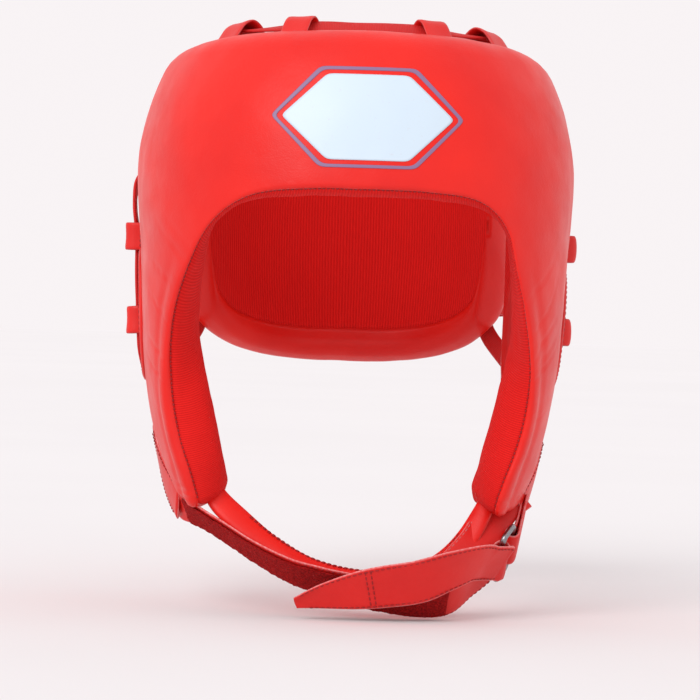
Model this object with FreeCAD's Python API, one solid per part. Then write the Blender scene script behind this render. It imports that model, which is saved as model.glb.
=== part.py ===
import FreeCAD, Part
import math
import os

# Boxing headgear: a padded front shell (forehead and cheeks in one horseshoe), a laced rear
# pad, flat laces through leather loops, and a chin strap that folds back on itself.
# Millimetres. +X is the wearer's left, -Y is the way the wearer faces, +Z is up.
# The origin is the middle of the head cavity at the height of the brow edge.

VEC = FreeCAD.Vector

# ---- driving dimensions -------------------------------------------------------------------
# head form: the surface the lining rests on
FORM_MID_Z = -15.0            # height where the form is widest
FORM_RISE = 97.0              # from there to the top of the form
FORM_DROP = 158.0             # from there to the theoretical bottom at the front
FORM_REAR_DROP = 125.0        # the same at the nape, which tucks in sooner
FORM_HALF_WIDTH = 79.0
FORM_FRONT = 96.0
FORM_REAR = 97.0
FORM_PROFILE_POWER = 2.6      # superellipse power of the upright profile
FORM_PLAN_POWER = 2.35        # superellipse power of the level section

# build-up of the padding, measured out from the head form
PAD_FRONT = 24.5              # forehead and cheeks
PAD_SIDE = 20.5               # over and behind the ears
PAD_REAR = 20.0               # rear pad
LEATHER = 1.4
LINING = 1.2
LAYER_GAP = 0.15              # air left between two soft layers

# outline of one half of the front shell, centre line to cheek tip:
# seam angle, seam z, lip angle, lip z, rim angle, rim z  (angles from straight ahead)
FRONT_HALF = (
    (0.0, 0.0, 0.0, 1.0, 0.0, 60.0),
    (13.0, -0.3, 17.0, 0.5, 23.0, 59.5),
    (24.0, -3.5, 34.0, -2.5, 46.0, 58.0),
    (31.0, -14.0, 45.0, -13.0, 70.0, 55.5),
    (35.0, -32.0, 50.0, -31.0, 93.0, 50.0),
    (39.5, -53.0, 53.5, -51.0, 109.0, 36.0),
    (43.0, -73.0, 54.5, -69.0, 117.0, 6.0),
    (45.3, -91.0, 50.0, -88.0, 118.5, -32.0),
    (45.0, -106.0, 47.5, -104.0, 115.0, -68.0),
    (43.0, -119.0, 47.5, -118.0, 102.0, -99.0),
    (43.0, -130.0, 49.5, -129.0, 80.0, -124.0),
    (47.0, -137.5, 53.0, -136.0, 62.0, -137.5),
)
# outline of one half of the rear pad, centre line to side edge: angle, bottom z, top z
REAR_HALF = (
    (180.0, -72.0, 47.0),
    (168.0, -72.0, 47.0),
    (156.0, -70.0, 46.0),
    (145.0, -65.0, 43.0),
    (137.0, -56.0, 36.0),
    (132.0, -44.0, 26.0),
)
# share of the full thickness kept at each step from the opening edge to the rim edge
EDGE_STEPS = (0.0, 0.08, 0.25, 0.5, 0.75, 0.92, 1.0)
FRONT_FULLNESS = (0.86, 0.97, 1.0, 1.0, 1.0, 0.93, 0.74)
REAR_FULLNESS = (0.70, 0.92, 1.0, 1.0, 1.0, 0.92, 0.70)

FOREHEAD_CUT = 58.0           # angle where the forehead foam meets a cheek foam

# ear holes, one each side
EAR_Y = 7.0
EAR_Z = -57.0
EAR_HEIGHT = 52.0
EAR_LENGTH = 36.0
EAR_RIM = 1.6

# blank white badge on the forehead, a long hexagon
BADGE_Z = 33.0
BADGE_LENGTH = 76.0
BADGE_HEIGHT = 38.0
BADGE_POINT = 20.0
BADGE_THICK = 0.6

# flat laces and the leather loops they run through
LACE_WIDTH = 9.5
LACE_THICK = 1.6
LOOP_THICK = 1.6
LOOP_HEIGHT = 8.5
LOOP_SPAN = 15.5
CROWN_LOOP_SPAN = 12.6
CROWN_LOOPS = (28.0, 52.0)           # distance of the rim loops from the centre line
CROWN_LOOP_WIDTH = 13.0
REAR_LOOP_SHIFT = 8.0                # the rear rim loops sit this much closer together
LACE_LEAN = 0.0125                   # how the crown lace tips in towards the middle, per mm
SIDE_LOOPS = (-20.0, -58.0)          # heights of the side loops
SIDE_LOOP_WIDTH = 13.0
SIDE_LOOP_ANGLE = 108.0
REAR_LOOP_ANGLE = 143.0
REAR_LOOPS = (-14.0, -44.0)          # heights of the loops on the rear pad
CROWN_LACE_TOP = 78.0         # height of the lace where it crosses over the head
CROWN_LACE_DIP = 3.6          # how far the lower run passes beneath the upper one

# chin strap: one leather strap across, through a ring and back as a tongue
STRAP_THICK = 1.8
PATCH_THICK = 1.0
STRAP_WIDTH = 23.0
HINGE_X = 79.5                # end of the line the chin strap swings about, parallel to X
HINGE_Y = -36.0
HINGE_Z = -152.0
STRAP_RUN = (                 # centre line of the strap, right anchor to ring, with width axis
    ((-76.5, -38.0, -153.5), (0.0, -0.96, 0.28)),
    ((-61.0, -47.0, -161.0), (0.0, -0.95, 0.31)),
    ((-43.0, -55.0, -167.0), (0.0, -0.93, 0.37)),
    ((-22.0, -62.0, -173.0), (0.0, -0.86, 0.51)),
    ((5.0, -67.0, -178.5), (0.0, -0.74, 0.67)),
    ((28.0, -67.0, -181.5), (0.0, -0.66, 0.75)),
    ((45.0, -63.0, -181.0), (0.0, -0.66, 0.75)),
    ((56.0, -57.5, -174.0), (0.0, -0.74, 0.67)),
)
TONGUE_RUN = (                # centre line of the tongue to its tip, width axis and width
    ((55.5, -70.5, -167.0), (0.0, -0.66, 0.75), 20.5),
    ((44.0, -78.2, -171.0), (0.0, -0.54, 0.84), 22.5),
    ((30.0, -80.5, -175.0), (0.0, -0.45, 0.89), 22.5),
    ((8.0, -80.0, -177.5), (0.0, -0.43, 0.90), 20.5),
    ((-10.0, -77.5, -180.0), (0.0, -0.43, 0.90), 14.5),
    ((-24.0, -74.5, -183.5), (0.0, -0.45, 0.89), 6.5),
)
SLING_RUN = (                 # inner chin cup, cheek tip to cheek tip
    ((-59.0, -44.0, -154.0), (0.0, -0.60, 0.80), 5.0),
    ((-46.0, -49.5, -157.5), (0.0, -0.62, 0.78), 13.0),
    ((-24.0, -56.0, -163.5), (0.0, -0.66, 0.75), 20.0),
    ((0.0, -59.0, -168.0), (0.0, -0.66, 0.75), 21.0),
    ((24.0, -56.5, -166.5), (0.0, -0.66, 0.75), 18.0),
    ((45.0, -48.0, -158.5), (0.0, -0.62, 0.78), 11.0),
    ((56.0, -42.0, -154.0), (0.0, -0.60, 0.80), 5.0),
)
FLAP_RUN = (                  # flap behind the ring, from the ring to its free end
    ((61.5, -48.0, -164.0), (0.0, -0.76, 0.65), 18.0),
    ((52.0, -54.0, -169.5), (0.0, -0.72, 0.70), 16.0),
    ((42.0, -58.0, -173.0), (0.0, -0.70, 0.72), 8.0),
)
ANCHOR_ROUTE = ((97.0, -103.0), (89.0, -112.0), (81.0, -122.0), (74.0, -131.5))
ANCHOR_LIFT = 0.5
RING_BAR = (69.0, -51.0, -164.5)     # middle of the bar the strap folds round
RING_REACH = 11.0                    # from that bar to the bar held by the anchor
RING_INNER_WIDTH = 25.0
RING_LOOP_WIDTH = 15.0
RING_WIRE = 1.4                      # wire radius
FOLD_CLEARANCE = 0.45
FOLD_OFFSET = RING_WIRE + FOLD_CLEARANCE + 0.5 * STRAP_THICK   # bar centre to strap centre
BUTTON = 0.3                         # air between a part and the leather behind it
RIM_LIFT = 0.8                       # the same on the curved top rims


# ---- head form ------------------------------------------------------------------------------
def form_base(angle, z):
    """Point of the head form at an angle from straight ahead (radians) and a height."""
    across = math.sin(angle)
    ahead = math.cos(angle)
    if z > FORM_MID_Z:
        share = min((z - FORM_MID_Z) / FORM_RISE, 0.999)
        swell = (1.0 - share ** FORM_PROFILE_POWER) ** (1.0 / FORM_PROFILE_POWER)
        nape = swell
    else:
        share = min((FORM_MID_Z - z) / FORM_DROP, 0.999)
        swell = (1.0 - share ** FORM_PROFILE_POWER) ** (1.0 / FORM_PROFILE_POWER)
        tuck = min((FORM_MID_Z - z) / FORM_REAR_DROP, 0.999)
        nape = (1.0 - tuck ** 2) ** 0.5
    depth = FORM_FRONT * swell if ahead >= 0.0 else FORM_REAR * nape
    reach = (abs(across) / (FORM_HALF_WIDTH * swell)) ** FORM_PLAN_POWER
    reach += (abs(ahead) / depth) ** FORM_PLAN_POWER
    radius = reach ** (-1.0 / FORM_PLAN_POWER)
    return VEC(radius * across, -radius * ahead, z)


def form_normal(degrees, z):
    """Outward unit normal of the head form."""
    angle = math.radians(degrees)
    along = form_base(angle + 0.001, z) - form_base(angle - 0.001, z)
    upward = form_base(angle, z + 0.05) - form_base(angle, z - 0.05)
    normal = along.cross(upward)
    normal.normalize()
    return normal


def form_point(degrees, z, offset):
    """Point a given distance outside the head form."""
    return form_base(math.radians(degrees), z) + form_normal(degrees, z) * offset


def ease(value):
    """Smooth step from 0 to 1."""
    value = max(0.0, min(1.0, value))
    return value * value * (3.0 - 2.0 * value)


def pad_depth(degrees, z):
    """Full padding depth: thick in front, thinner over the ears and behind."""
    around = abs(degrees)
    if around > 125.0:
        return PAD_REAR
    side_share = ease((around - 40.0) / 40.0) * ease((20.0 - z) / 50.0)
    return PAD_FRONT - (PAD_FRONT - PAD_SIDE) * side_share


# ---- padded bands ---------------------------------------------------------------------------
def smooth_rows(rows, steps):
    """Catmull-Rom rows between the hand-set rows."""
    result = []
    last = len(rows) - 1
    for index in range(last):
        before = rows[max(index - 1, 0)]
        start = rows[index]
        end = rows[index + 1]
        after = rows[min(index + 2, last)]
        for step in range(steps):
            t = step / steps
            row = []
            for a, b, c, d in zip(before, start, end, after):
                curve = 2.0 * b + (c - a) * t
                curve += (2.0 * a - 5.0 * b + 4.0 * c - d) * t * t
                curve += (3.0 * b - a - 3.0 * c + d) * t ** 3
                row.append(0.5 * curve)
            result.append(tuple(row))
    result.append(tuple(rows[last]))
    return result


class Band:
    """A padded strip lying on the head form between an opening edge and a rim edge."""

    def __init__(self, rows, fullness):
        self.rows = rows
        self.fullness = fullness

    def grid(self, start, depth, open_inset, rim_inset):
        """Interpolated face; start picks the seam (0) or lip (2) edge, depth is a function."""
        points = []
        for row in self.rows:
            angle_0, z_0 = row[start], row[start + 1]
            angle_1, z_1 = row[4], row[5]
            length = (form_point(angle_0, z_0, 0.0) - form_point(angle_1, z_1, 0.0)).Length
            first = open_inset / length
            last = 1.0 - rim_inset / length
            line = []
            for step, full in zip(EDGE_STEPS, self.fullness):
                share = first + (last - first) * step
                angle = angle_0 + (angle_1 - angle_0) * share
                z = z_0 + (z_1 - z_0) * share
                line.append(form_point(angle, z, depth(angle, z, full)))
            points.append(line)
        surface = Part.BSplineSurface()
        surface.interpolate(points)
        return surface

    def leather_outside(self, inset=0.0):
        return self.grid(0, lambda a, z, full: pad_depth(a, z) * full, 0.0, inset)

    def leather_inside(self, shift, open_inset, rim_inset):
        depth = LEATHER + shift
        return self.grid(0, lambda a, z, full: pad_depth(a, z) * full - depth, open_inset, rim_inset)

    def inner(self, depth, open_inset, rim_inset):
        return self.grid(2, lambda a, z, full: depth, open_inset, rim_inset)


def side_edges(surface):
    """Opening edge, rim edge, first end and last end of an interpolated face."""
    u0, u1, v0, v1 = surface.bounds()
    return (
        surface.vIso(v0).toShape(),
        surface.vIso(v1).toShape(),
        surface.uIso(u0).toShape(),
        surface.uIso(u1).toShape(),
    )


def straight(edge_a, edge_b, end):
    """Straight edge between the matching ends of two edges."""
    return Part.makeLine(edge_a.valueAt(edge_a.ParameterRange[end]), edge_b.valueAt(edge_b.ParameterRange[end]))


def closed_solid(faces):
    """Sew faces into one closed solid."""
    shell = Part.makeShell(faces)
    shell.sewShape()
    solid = Part.makeSolid(Part.Shell(shell.Faces))
    if solid.Volume < 0.0:
        solid.reverse()
    return solid


def block_between(outer, inner):
    """Solid between two interpolated faces, with straight walls all round."""
    faces = [outer.toShape(), inner.toShape()]
    for edge_a, edge_b in zip(side_edges(outer), side_edges(inner)):
        faces.append(Part.makeRuledSurface(edge_a, edge_b))
    return closed_solid(faces)


def wrapped_skin(outside, inside, outer_lip, inner_lip, wrapped_edge):
    """Skin that covers one side of a pad and folds over one of its long edges.

    outside and inside are the skin's own two faces; outer_lip and inner_lip are the
    edges where the folded part ends; wrapped_edge is 0 for the opening, 1 for the rim.
    """
    out_edges = side_edges(outside)
    in_edges = side_edges(inside)
    plain_edge = 1 - wrapped_edge
    faces = [outside.toShape(), inside.toShape()]
    faces.append(Part.makeRuledSurface(out_edges[plain_edge], in_edges[plain_edge]))
    faces.append(Part.makeRuledSurface(out_edges[wrapped_edge], outer_lip))
    faces.append(Part.makeRuledSurface(in_edges[wrapped_edge], inner_lip))
    faces.append(Part.makeRuledSurface(outer_lip, inner_lip))
    for end in (0, 1):
        faces.append(Part.makeRuledSurface(out_edges[2 + end], in_edges[2 + end]))
        fold_out = straight(out_edges[wrapped_edge], outer_lip, end)
        fold_in = straight(in_edges[wrapped_edge], inner_lip, end)
        faces.append(Part.makeRuledSurface(fold_out, fold_in))
    return closed_solid(faces)


def band_layers(band):
    """Outer leather, foam and inner lining of a padded band."""
    leather_out = band.leather_outside()
    leather_in = band.leather_inside(0.0, 0.0, LEATHER)
    leather_lip_out = side_edges(band.inner(0.0, 0.0, 0.0))[1]
    leather_lip_in = side_edges(band.inner(0.0, 0.0, LEATHER))[1]
    cover = wrapped_skin(leather_out, leather_in, leather_lip_out, leather_lip_in, 1)

    rim = LEATHER + LAYER_GAP
    lining_in = band.inner(0.0, 0.0, rim)
    lining_out = band.inner(LINING, LINING, rim)
    lining_lip_in = side_edges(band.leather_inside(LAYER_GAP, 0.0, rim))[0]
    lining_lip_out = side_edges(band.leather_inside(LAYER_GAP, LINING, rim))[0]
    lining = wrapped_skin(lining_in, lining_out, lining_lip_in, lining_lip_out, 0)

    edge = LINING + LAYER_GAP
    foam_out = band.leather_inside(LAYER_GAP, edge, rim)
    foam_in = band.inner(edge, edge, rim)
    foam = block_between(foam_out, foam_in)
    return cover, foam, lining


def front_band():
    half = smooth_rows(FRONT_HALF, 2)
    mirrored = [(-a, b, -c, d, -e, f) for a, b, c, d, e, f in half[:0:-1]]
    return Band(mirrored + half, FRONT_FULLNESS)


def rear_band():
    half = smooth_rows(REAR_HALF, 2)
    rows = [(a, low, a, low, a, high) for a, low, high in half]
    mirrored = [(360.0 - a, b, 360.0 - c, d, 360.0 - e, f) for a, b, c, d, e, f in rows[1:]]
    return Band(rows[::-1] + mirrored, REAR_FULLNESS)


# ---- straps, laces and loops ----------------------------------------------------------------
def ribbon(stations, thickness, closed=False):
    """Flat strap through (centre, width axis, width) stations, square cut at its ends."""
    wires = []
    count = len(stations)
    for index, (centre, across, width) in enumerate(stations):
        if closed:
            before = stations[index - 1][0]
            after = stations[(index + 1) % count][0]
        else:
            before = stations[max(index - 1, 0)][0]
            after = stations[min(index + 1, count - 1)][0]
        ahead = after - before
        ahead.normalize()
        half_turn = 1.0
        if closed or 0 < index < count - 1:
            leg = centre - before
            leg.normalize()
            half_turn = max(leg.dot(ahead), 0.5)
        side = VEC(across)
        side = side - ahead * side.dot(ahead)
        side.normalize()
        up = ahead.cross(side) * (0.5 * thickness / half_turn)
        side = side * (0.5 * width)
        corners = [centre + side + up, centre - side + up, centre - side - up, centre + side - up]
        wires.append(Part.makePolygon(corners + corners[:1]))
    if closed:
        wires.append(wires[0])
    return Part.makeLoft(wires, True, True)


def strap_stations(rows, width=None, lift=0.0):
    """Turn driving rows into ribbon stations, moved out from the strap face by lift."""
    stations = []
    points = [VEC(*row[0]) for row in rows]
    for index, row in enumerate(rows):
        ahead = points[min(index + 1, len(rows) - 1)] - points[max(index - 1, 0)]
        ahead.normalize()
        across = VEC(*row[1])
        outward = ahead.cross(across)
        outward.normalize()
        stations.append((points[index] + outward * lift, across, width or row[2]))
    return stations


def belt_loop(foot_a, foot_b, out, axis, width, height):
    """Leather loop standing on two feet; a lace passes through it along the axis."""
    inward = foot_b - foot_a
    inward.normalize()
    knee = inward * 2.5
    path = [
        foot_a,
        foot_a + out * (height * 0.6),
        foot_a + knee + out * height,
        foot_b - knee + out * height,
        foot_b + out * (height * 0.6),
        foot_b,
    ]
    return ribbon([(point, axis, width) for point in path], LOOP_THICK)


def rim_angle_at(x, z, rear):
    """Angle of the rim point that stands a given distance from the centre line."""
    low, high = (90.0, 180.0) if rear else (0.0, 90.0)
    for _ in range(40):
        middle = 0.5 * (low + high)
        too_wide = form_base(math.radians(middle), z).x > x
        if too_wide == rear:
            low = middle
        else:
            high = middle
    return 0.5 * (low + high)


def crown_seat(x, rear):
    """Foot of a crown loop on the top rim: point, outward, upward and along-the-rim axes."""
    z = REAR_HALF[0][2] if rear else FRONT_HALF[0][5]
    z -= 0.0008 * x * x
    angle = rim_angle_at(abs(x), z, rear)
    if x < 0.0:
        angle = -angle
    out = form_normal(angle, z)
    upward = form_point(angle, z + 1.0, 0.0) - form_point(angle, z - 1.0, 0.0)
    upward.normalize()
    return form_point(angle, z, 0.0) + upward * RIM_LIFT, out, upward, upward.cross(out)


def crown_loop(x, rear):
    """Loop on the top rim; the lace passes through it along the rim."""
    base, out, upward, axis = crown_seat(x, rear)
    foot_a = base + out * (CROWN_LOOP_SPAN + 0.5)
    foot_b = base + out * 0.5
    return belt_loop(foot_a, foot_b, upward, axis, CROWN_LOOP_WIDTH, LOOP_HEIGHT)


def surface_depth(degrees, z):
    """Outside of the leather at a loop, a little below full padding depth near an edge."""
    return pad_depth(degrees, z) + BUTTON


def side_loop(degrees, z):
    """Loop on the outside of a pad; the lace passes through it upright."""
    spread = math.degrees(0.5 * LOOP_SPAN / 97.0)
    foot_a = form_point(degrees - spread, z, surface_depth(degrees, z) + 0.2)
    foot_b = form_point(degrees + spread, z, surface_depth(degrees, z) + 0.2)
    out = form_normal(degrees, z)
    axis = form_point(degrees, z + 1.0, 0.0) - form_point(degrees, z - 1.0, 0.0)
    axis.normalize()
    return belt_loop(foot_a, foot_b, out, axis, SIDE_LOOP_WIDTH, LOOP_HEIGHT)


def sampled(points, count):
    """Evenly spaced points on a closed smooth curve through the given points."""
    curve = Part.BSplineCurve()
    curve.interpolate([VEC(*point) for point in points], PeriodicFlag=True)
    edge = curve.toShape()
    return edge.discretize(count + 1)[:-1]


def side_lace(side):
    """Flat lace round one laced gap: down the shell loops, back up the rear pad loops."""
    front = SIDE_LOOP_ANGLE
    rear = REAR_LOOP_ANGLE
    route = (
        (front, -6.0), (front, -20.0), (front, -39.0), (front, -58.0), (front, -71.0),
        (front + 6.0, -80.0), (0.5 * (front + rear), -78.0), (rear - 6.0, -66.0),
        (rear, -55.0), (rear, -44.0), (rear, -29.0), (rear, -14.0), (rear, -1.0),
        (rear - 6.0, 7.0), (0.5 * (front + rear), 8.0), (front + 6.0, 4.0),
    )
    route = [(angle, z, 0.0) for angle, z in route]
    stations = []
    points = sampled(route, 56)
    for index, spot in enumerate(points):
        ahead = points[(index + 1) % len(points)] - points[index - 1]
        angle, z = side * spot.x, spot.y
        depth = pad_depth(angle, z) + BUTTON + 0.5 * (LOOP_HEIGHT - LOOP_THICK)
        centre = form_point(angle, z, depth)
        near = form_point(side * (spot.x - ahead.x), z - ahead.y, depth)
        far = form_point(side * (spot.x + ahead.x), z + ahead.y, depth)
        across = (far - near).cross(form_normal(angle, z))
        stations.append((centre, across, LACE_WIDTH))
    return ribbon(stations, LACE_THICK, closed=True)


def through_crown_loop(x, rear, heading):
    """Three lace points through the middle of a crown loop, in travel order along X."""
    base, out, upward, axis = crown_seat(x, rear)
    middle = base + out * (0.5 * CROWN_LOOP_SPAN + 0.5) + upward * (0.5 * LOOP_HEIGHT - 0.6)
    if axis.x * heading < 0.0:
        axis = -axis
    reach = 0.5 * CROWN_LOOP_WIDTH
    return [middle - axis * reach, middle, middle + axis * reach]


def crown_lace():
    """Flat lace over the crown: through the rim loops, crossing over the head."""
    inner, outer = CROWN_LOOPS
    low = CROWN_LACE_TOP - CROWN_LACE_DIP
    route = []
    for x in (-outer, -inner, inner, outer):
        route += through_crown_loop(x, False, 1.0)
    route += [VEC(57.0, -29.0, 69.5), VEC(30.0, -10.0, 74.0), VEC(0.0, 6.0, low)]
    route += [VEC(-30.0, 24.0, 70.5), VEC(-54.0, 46.0, 61.0)]
    for x in (-outer, -inner, inner, outer):
        route += through_crown_loop(x - math.copysign(REAR_LOOP_SHIFT, x), True, 1.0)
    route += [VEC(54.0, 46.0, 61.0), VEC(30.0, 24.0, 73.0), VEC(0.0, 6.0, CROWN_LACE_TOP)]
    route += [VEC(-30.0, -10.0, 75.5), VEC(-57.0, -29.0, 69.5)]
    points = sampled(route, 120)
    stations = []
    for index, point in enumerate(points):
        ahead = points[(index + 1) % len(points)] - points[index - 1]
        lean = VEC(-LACE_LEAN * point.x, -LACE_LEAN * point.y, 1.0)
        stations.append((point, ahead.cross(lean), LACE_WIDTH))
    return ribbon(stations, LACE_THICK, closed=True)


# ---- sub-parts of the front shell and rear pad ----------------------------------------------
def oval_prism(side, margin):
    """Upright oval bar along X through one ear hole, grown by margin."""
    half_z = 0.5 * EAR_HEIGHT + margin
    half_y = 0.5 * EAR_LENGTH + margin
    oval = Part.Ellipse(VEC(0.0, 0.0, 0.0), half_z, half_y).toShape()
    oval.rotate(VEC(0.0, 0.0, 0.0), VEC(0.0, 1.0, 0.0), 90.0)
    oval.translate(VEC(20.0 * side, EAR_Y, EAR_Z))
    face = Part.Face(Part.Wire([oval]))
    return face.extrude(VEC(110.0 * side, 0.0, 0.0))


def ear_rim(band, side):
    """Leather tube lining one ear hole, flush with both faces of the padding."""
    inset = 2.0
    whole = block_between(band.leather_outside(inset), band.inner(0.0, inset, inset))
    tube = oval_prism(side, 0.0).cut(oval_prism(side, -EAR_RIM))
    return tube.common(whole)


def cheek_side(side):
    """Half space block on the cheek side of the forehead foam joint."""
    block = Part.makeBox(300.0, 400.0, 400.0, VEC(0.0, -200.0, -250.0))
    block.rotate(VEC(0.0, 0.0, 0.0), VEC(0.0, 0.0, 1.0), FOREHEAD_CUT)
    lower = Part.makeBox(400.0, 400.0, 300.0, VEC(-200.0, -200.0, -300.0))
    block = block.common(lower)
    if side < 0.0:
        block = block.mirror(VEC(0.0, 0.0, 0.0), VEC(1.0, 0.0, 0.0))
    return block


def forehead_badge(band):
    """Thin blank badge that follows the forehead leather."""
    def skin(lift):
        rows = []
        for column in range(-6, 7):
            line = []
            for level in range(5):
                angle = column * 6.0
                z = BADGE_Z - BADGE_HEIGHT * 0.75 + BADGE_HEIGHT * 0.33 * level
                line.append(form_point(angle, z - 6.0, pad_depth(angle, z) + lift))
            rows.append(line)
        surface = Part.BSplineSurface()
        surface.interpolate(rows)
        return surface

    slab = block_between(skin(BUTTON + BADGE_THICK), skin(BUTTON))
    half = 0.5 * BADGE_LENGTH
    tall = 0.5 * BADGE_HEIGHT
    flat = half - BADGE_POINT
    outline = [(-half, 0.0), (-flat, tall), (flat, tall), (half, 0.0), (flat, -tall), (-flat, -tall)]
    corners = [VEC(x, -200.0, BADGE_Z + z) for x, z in outline]
    prism = Part.Face(Part.makePolygon(corners + corners[:1])).extrude(VEC(0.0, 150.0, 0.0))
    return slab.common(prism)


def chin_anchor(side):
    """Leather tab sewn to the outside of one cheek, ending at the chin strap's swing line."""
    rows = []
    for degrees, z in smooth_rows(ANCHOR_ROUTE, 3):
        lift = BUTTON + 0.5 * STRAP_THICK + ANCHOR_LIFT
        centre = form_point(side * degrees, z, pad_depth(degrees, z) + lift)
        rows.append((centre, form_normal(side * degrees, z)))
    rows.append((VEC(side * (HINGE_X + 0.6), HINGE_Y + 2.4, HINGE_Z + 3.6), rows[-1][1]))
    stations = []
    for index, (centre, out) in enumerate(rows):
        ahead = rows[min(index + 1, len(rows) - 1)][0] - rows[max(index - 1, 0)][0]
        stations.append((centre, ahead.cross(out), STRAP_WIDTH - 1.0))
    return ribbon(stations, STRAP_THICK)


# ---- chin strap -----------------------------------------------------------------------------
def ring_frame():
    """Middle of the ring's strap bar, direction to the anchor bar, and bar direction."""
    bar = VEC(*RING_BAR)
    reach = VEC(HINGE_X, HINGE_Y, HINGE_Z) - bar
    reach.normalize()
    along = VEC(*STRAP_RUN[-1][1])
    along = along - reach * along.dot(reach)
    along.normalize()
    return bar, reach, along


def chin_strap():
    """Leather strap from the right anchor, under the chin, to just short of the ring."""
    bar, reach, along = ring_frame()
    under = bar - reach.cross(along) * FOLD_OFFSET - reach * (FOLD_OFFSET + 5.5)
    return ribbon(strap_stations(STRAP_RUN + ((under, along),), STRAP_WIDTH), STRAP_THICK)


def chin_loop_patch():
    """Loop-pile patch on the outer face of the strap, stopping short of the ring."""
    lift = 0.5 * (STRAP_THICK + PATCH_THICK) + LAYER_GAP
    return ribbon(strap_stations(STRAP_RUN[:7], STRAP_WIDTH - 2.0, lift), PATCH_THICK)


def chin_sling():
    return ribbon(strap_stations(SLING_RUN), STRAP_THICK)


def chin_tongue():
    """Tongue of the strap: rolled round the ring bar, back over the front, blunt point."""
    bar, reach, along = ring_frame()
    over = bar + reach.cross(along) * FOLD_OFFSET
    rows = ((over, along, STRAP_WIDTH - 3.5),) + TONGUE_RUN
    return ribbon(strap_stations(rows), STRAP_THICK).fuse(tongue_fold())


def chin_hook_patch():
    """Hook patch on the inner face of the tongue near its tip."""
    rows = [(centre, across, width - 4.0) for centre, across, width in TONGUE_RUN[2:5]]
    lift = 0.5 * (STRAP_THICK + PATCH_THICK) + LAYER_GAP
    return ribbon(strap_stations(rows, None, lift), PATCH_THICK)


def tongue_fold():
    """Round fold of the strap that wraps the ring bar; part of the tongue."""
    bar, reach, along = ring_frame()
    inner = RING_WIRE + FOLD_CLEARANCE
    length = STRAP_WIDTH - 3.5
    start = bar - along * (0.5 * length)
    roll = Part.makeCylinder(inner + STRAP_THICK, length, start, along)
    return roll.cut(Part.makeCylinder(inner, length, start, along))


def chin_ring():
    """Rectangular wire ring joining the anchor loop to the folded strap."""
    bar, reach, along = ring_frame()
    half = 0.5 * RING_INNER_WIDTH + RING_WIRE
    corners = [
        bar + along * half,
        bar + reach * RING_REACH + along * half,
        bar + reach * RING_REACH - along * half,
        bar - along * half,
    ]
    wire = None
    for index, corner in enumerate(corners):
        following = corners[(index + 1) % 4]
        rod = Part.makeCylinder(RING_WIRE, (following - corner).Length, corner, following - corner)
        rod = rod.fuse(Part.makeSphere(RING_WIRE, corner))
        wire = rod if wire is None else wire.fuse(rod)
    return wire.removeSplitter()


def ring_loop():
    """Leather loop that hangs the ring from the swing line."""
    bar, reach, along = ring_frame()
    held = bar + reach * RING_REACH
    outward = reach.cross(along)
    gap = FOLD_OFFSET
    top = VEC(HINGE_X, HINGE_Y, HINGE_Z) - reach * 4.2
    path = [
        top + outward * gap,
        held + reach * 1.0 + outward * gap,
        held - reach * 1.6 + outward * gap * 0.85,
        held - reach * gap,
        held - reach * 1.6 - outward * gap * 0.85,
        held + reach * 1.0 - outward * gap,
        top - outward * gap,
    ]
    return ribbon([(point, along, RING_LOOP_WIDTH) for point in path], STRAP_THICK)


def ring_flap():
    """Leather flap behind the ring and the end of the strap."""
    bar, reach, along = ring_frame()
    inward = reach.cross(along) * (2.0 * FOLD_OFFSET - 0.5 * STRAP_THICK + 0.5)
    start = VEC(HINGE_X, HINGE_Y, HINGE_Z) - reach * 8.0 - inward
    rows = ((start, along, RING_LOOP_WIDTH - 3.0),) + FLAP_RUN
    return ribbon(strap_stations(rows), STRAP_THICK)


# ---- assembly -------------------------------------------------------------------------------
def front_parts():
    band = front_band()
    cover, foam, lining = band_layers(band)
    for side in (-1.0, 1.0):
        hole = oval_prism(side, LAYER_GAP)
        cover = cover.cut(hole)
        foam = foam.cut(hole)
        lining = lining.cut(hole)
    left_side = cheek_side(1.0)
    right_side = cheek_side(-1.0)
    parts = {
        "front_cover": cover,
        "front_lining": lining,
        "forehead_foam": foam.cut(left_side).cut(right_side),
        "cheek_foam_left": foam.common(left_side),
        "cheek_foam_right": foam.common(right_side),
        "ear_rim_left": ear_rim(band, 1.0),
        "ear_rim_right": ear_rim(band, -1.0),
        "forehead_badge": forehead_badge(band),
        "chin_anchor_left": chin_anchor(1.0),
        "chin_anchor_right": chin_anchor(-1.0),
        "crown_lace": crown_lace(),
    }
    return parts


def rear_parts():
    cover, foam, lining = band_layers(rear_band())
    return {"rear_cover": cover, "rear_foam": foam, "rear_lining": lining}


def loop_parts():
    parts = {}
    for name, side in (("left", 1.0), ("right", -1.0)):
        parts["side_lace_" + name] = side_lace(side)
        for place, x in zip(("inner", "outer"), CROWN_LOOPS):
            parts["front_crown_loop_%s_%s" % (place, name)] = crown_loop(side * x, False)
            parts["rear_crown_loop_%s_%s" % (place, name)] = crown_loop(side * (x - REAR_LOOP_SHIFT), True)
        for place, z in zip(("upper", "lower"), SIDE_LOOPS):
            parts["side_loop_%s_%s" % (place, name)] = side_loop(side * SIDE_LOOP_ANGLE, z)
        for place, z in zip(("upper", "lower"), REAR_LOOPS):
            parts["rear_loop_%s_%s" % (place, name)] = side_loop(side * REAR_LOOP_ANGLE, z)
    return parts


def chin_parts():
    return {
        "chin_strap": chin_strap(),
        "chin_loop_patch": chin_loop_patch(),
        "chin_sling": chin_sling(),
        "chin_ring": chin_ring(),
        "chin_ring_loop": ring_loop(),
        "chin_ring_flap": ring_flap(),
        "chin_tongue": chin_tongue(),
        "chin_hook_patch": chin_hook_patch(),
    }


os.makedirs("parts", exist_ok=True)
for group in (front_parts(), rear_parts(), loop_parts(), chin_parts()):
    for name, shape in group.items():
        shape.exportStep("parts/%s.step" % name)
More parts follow.
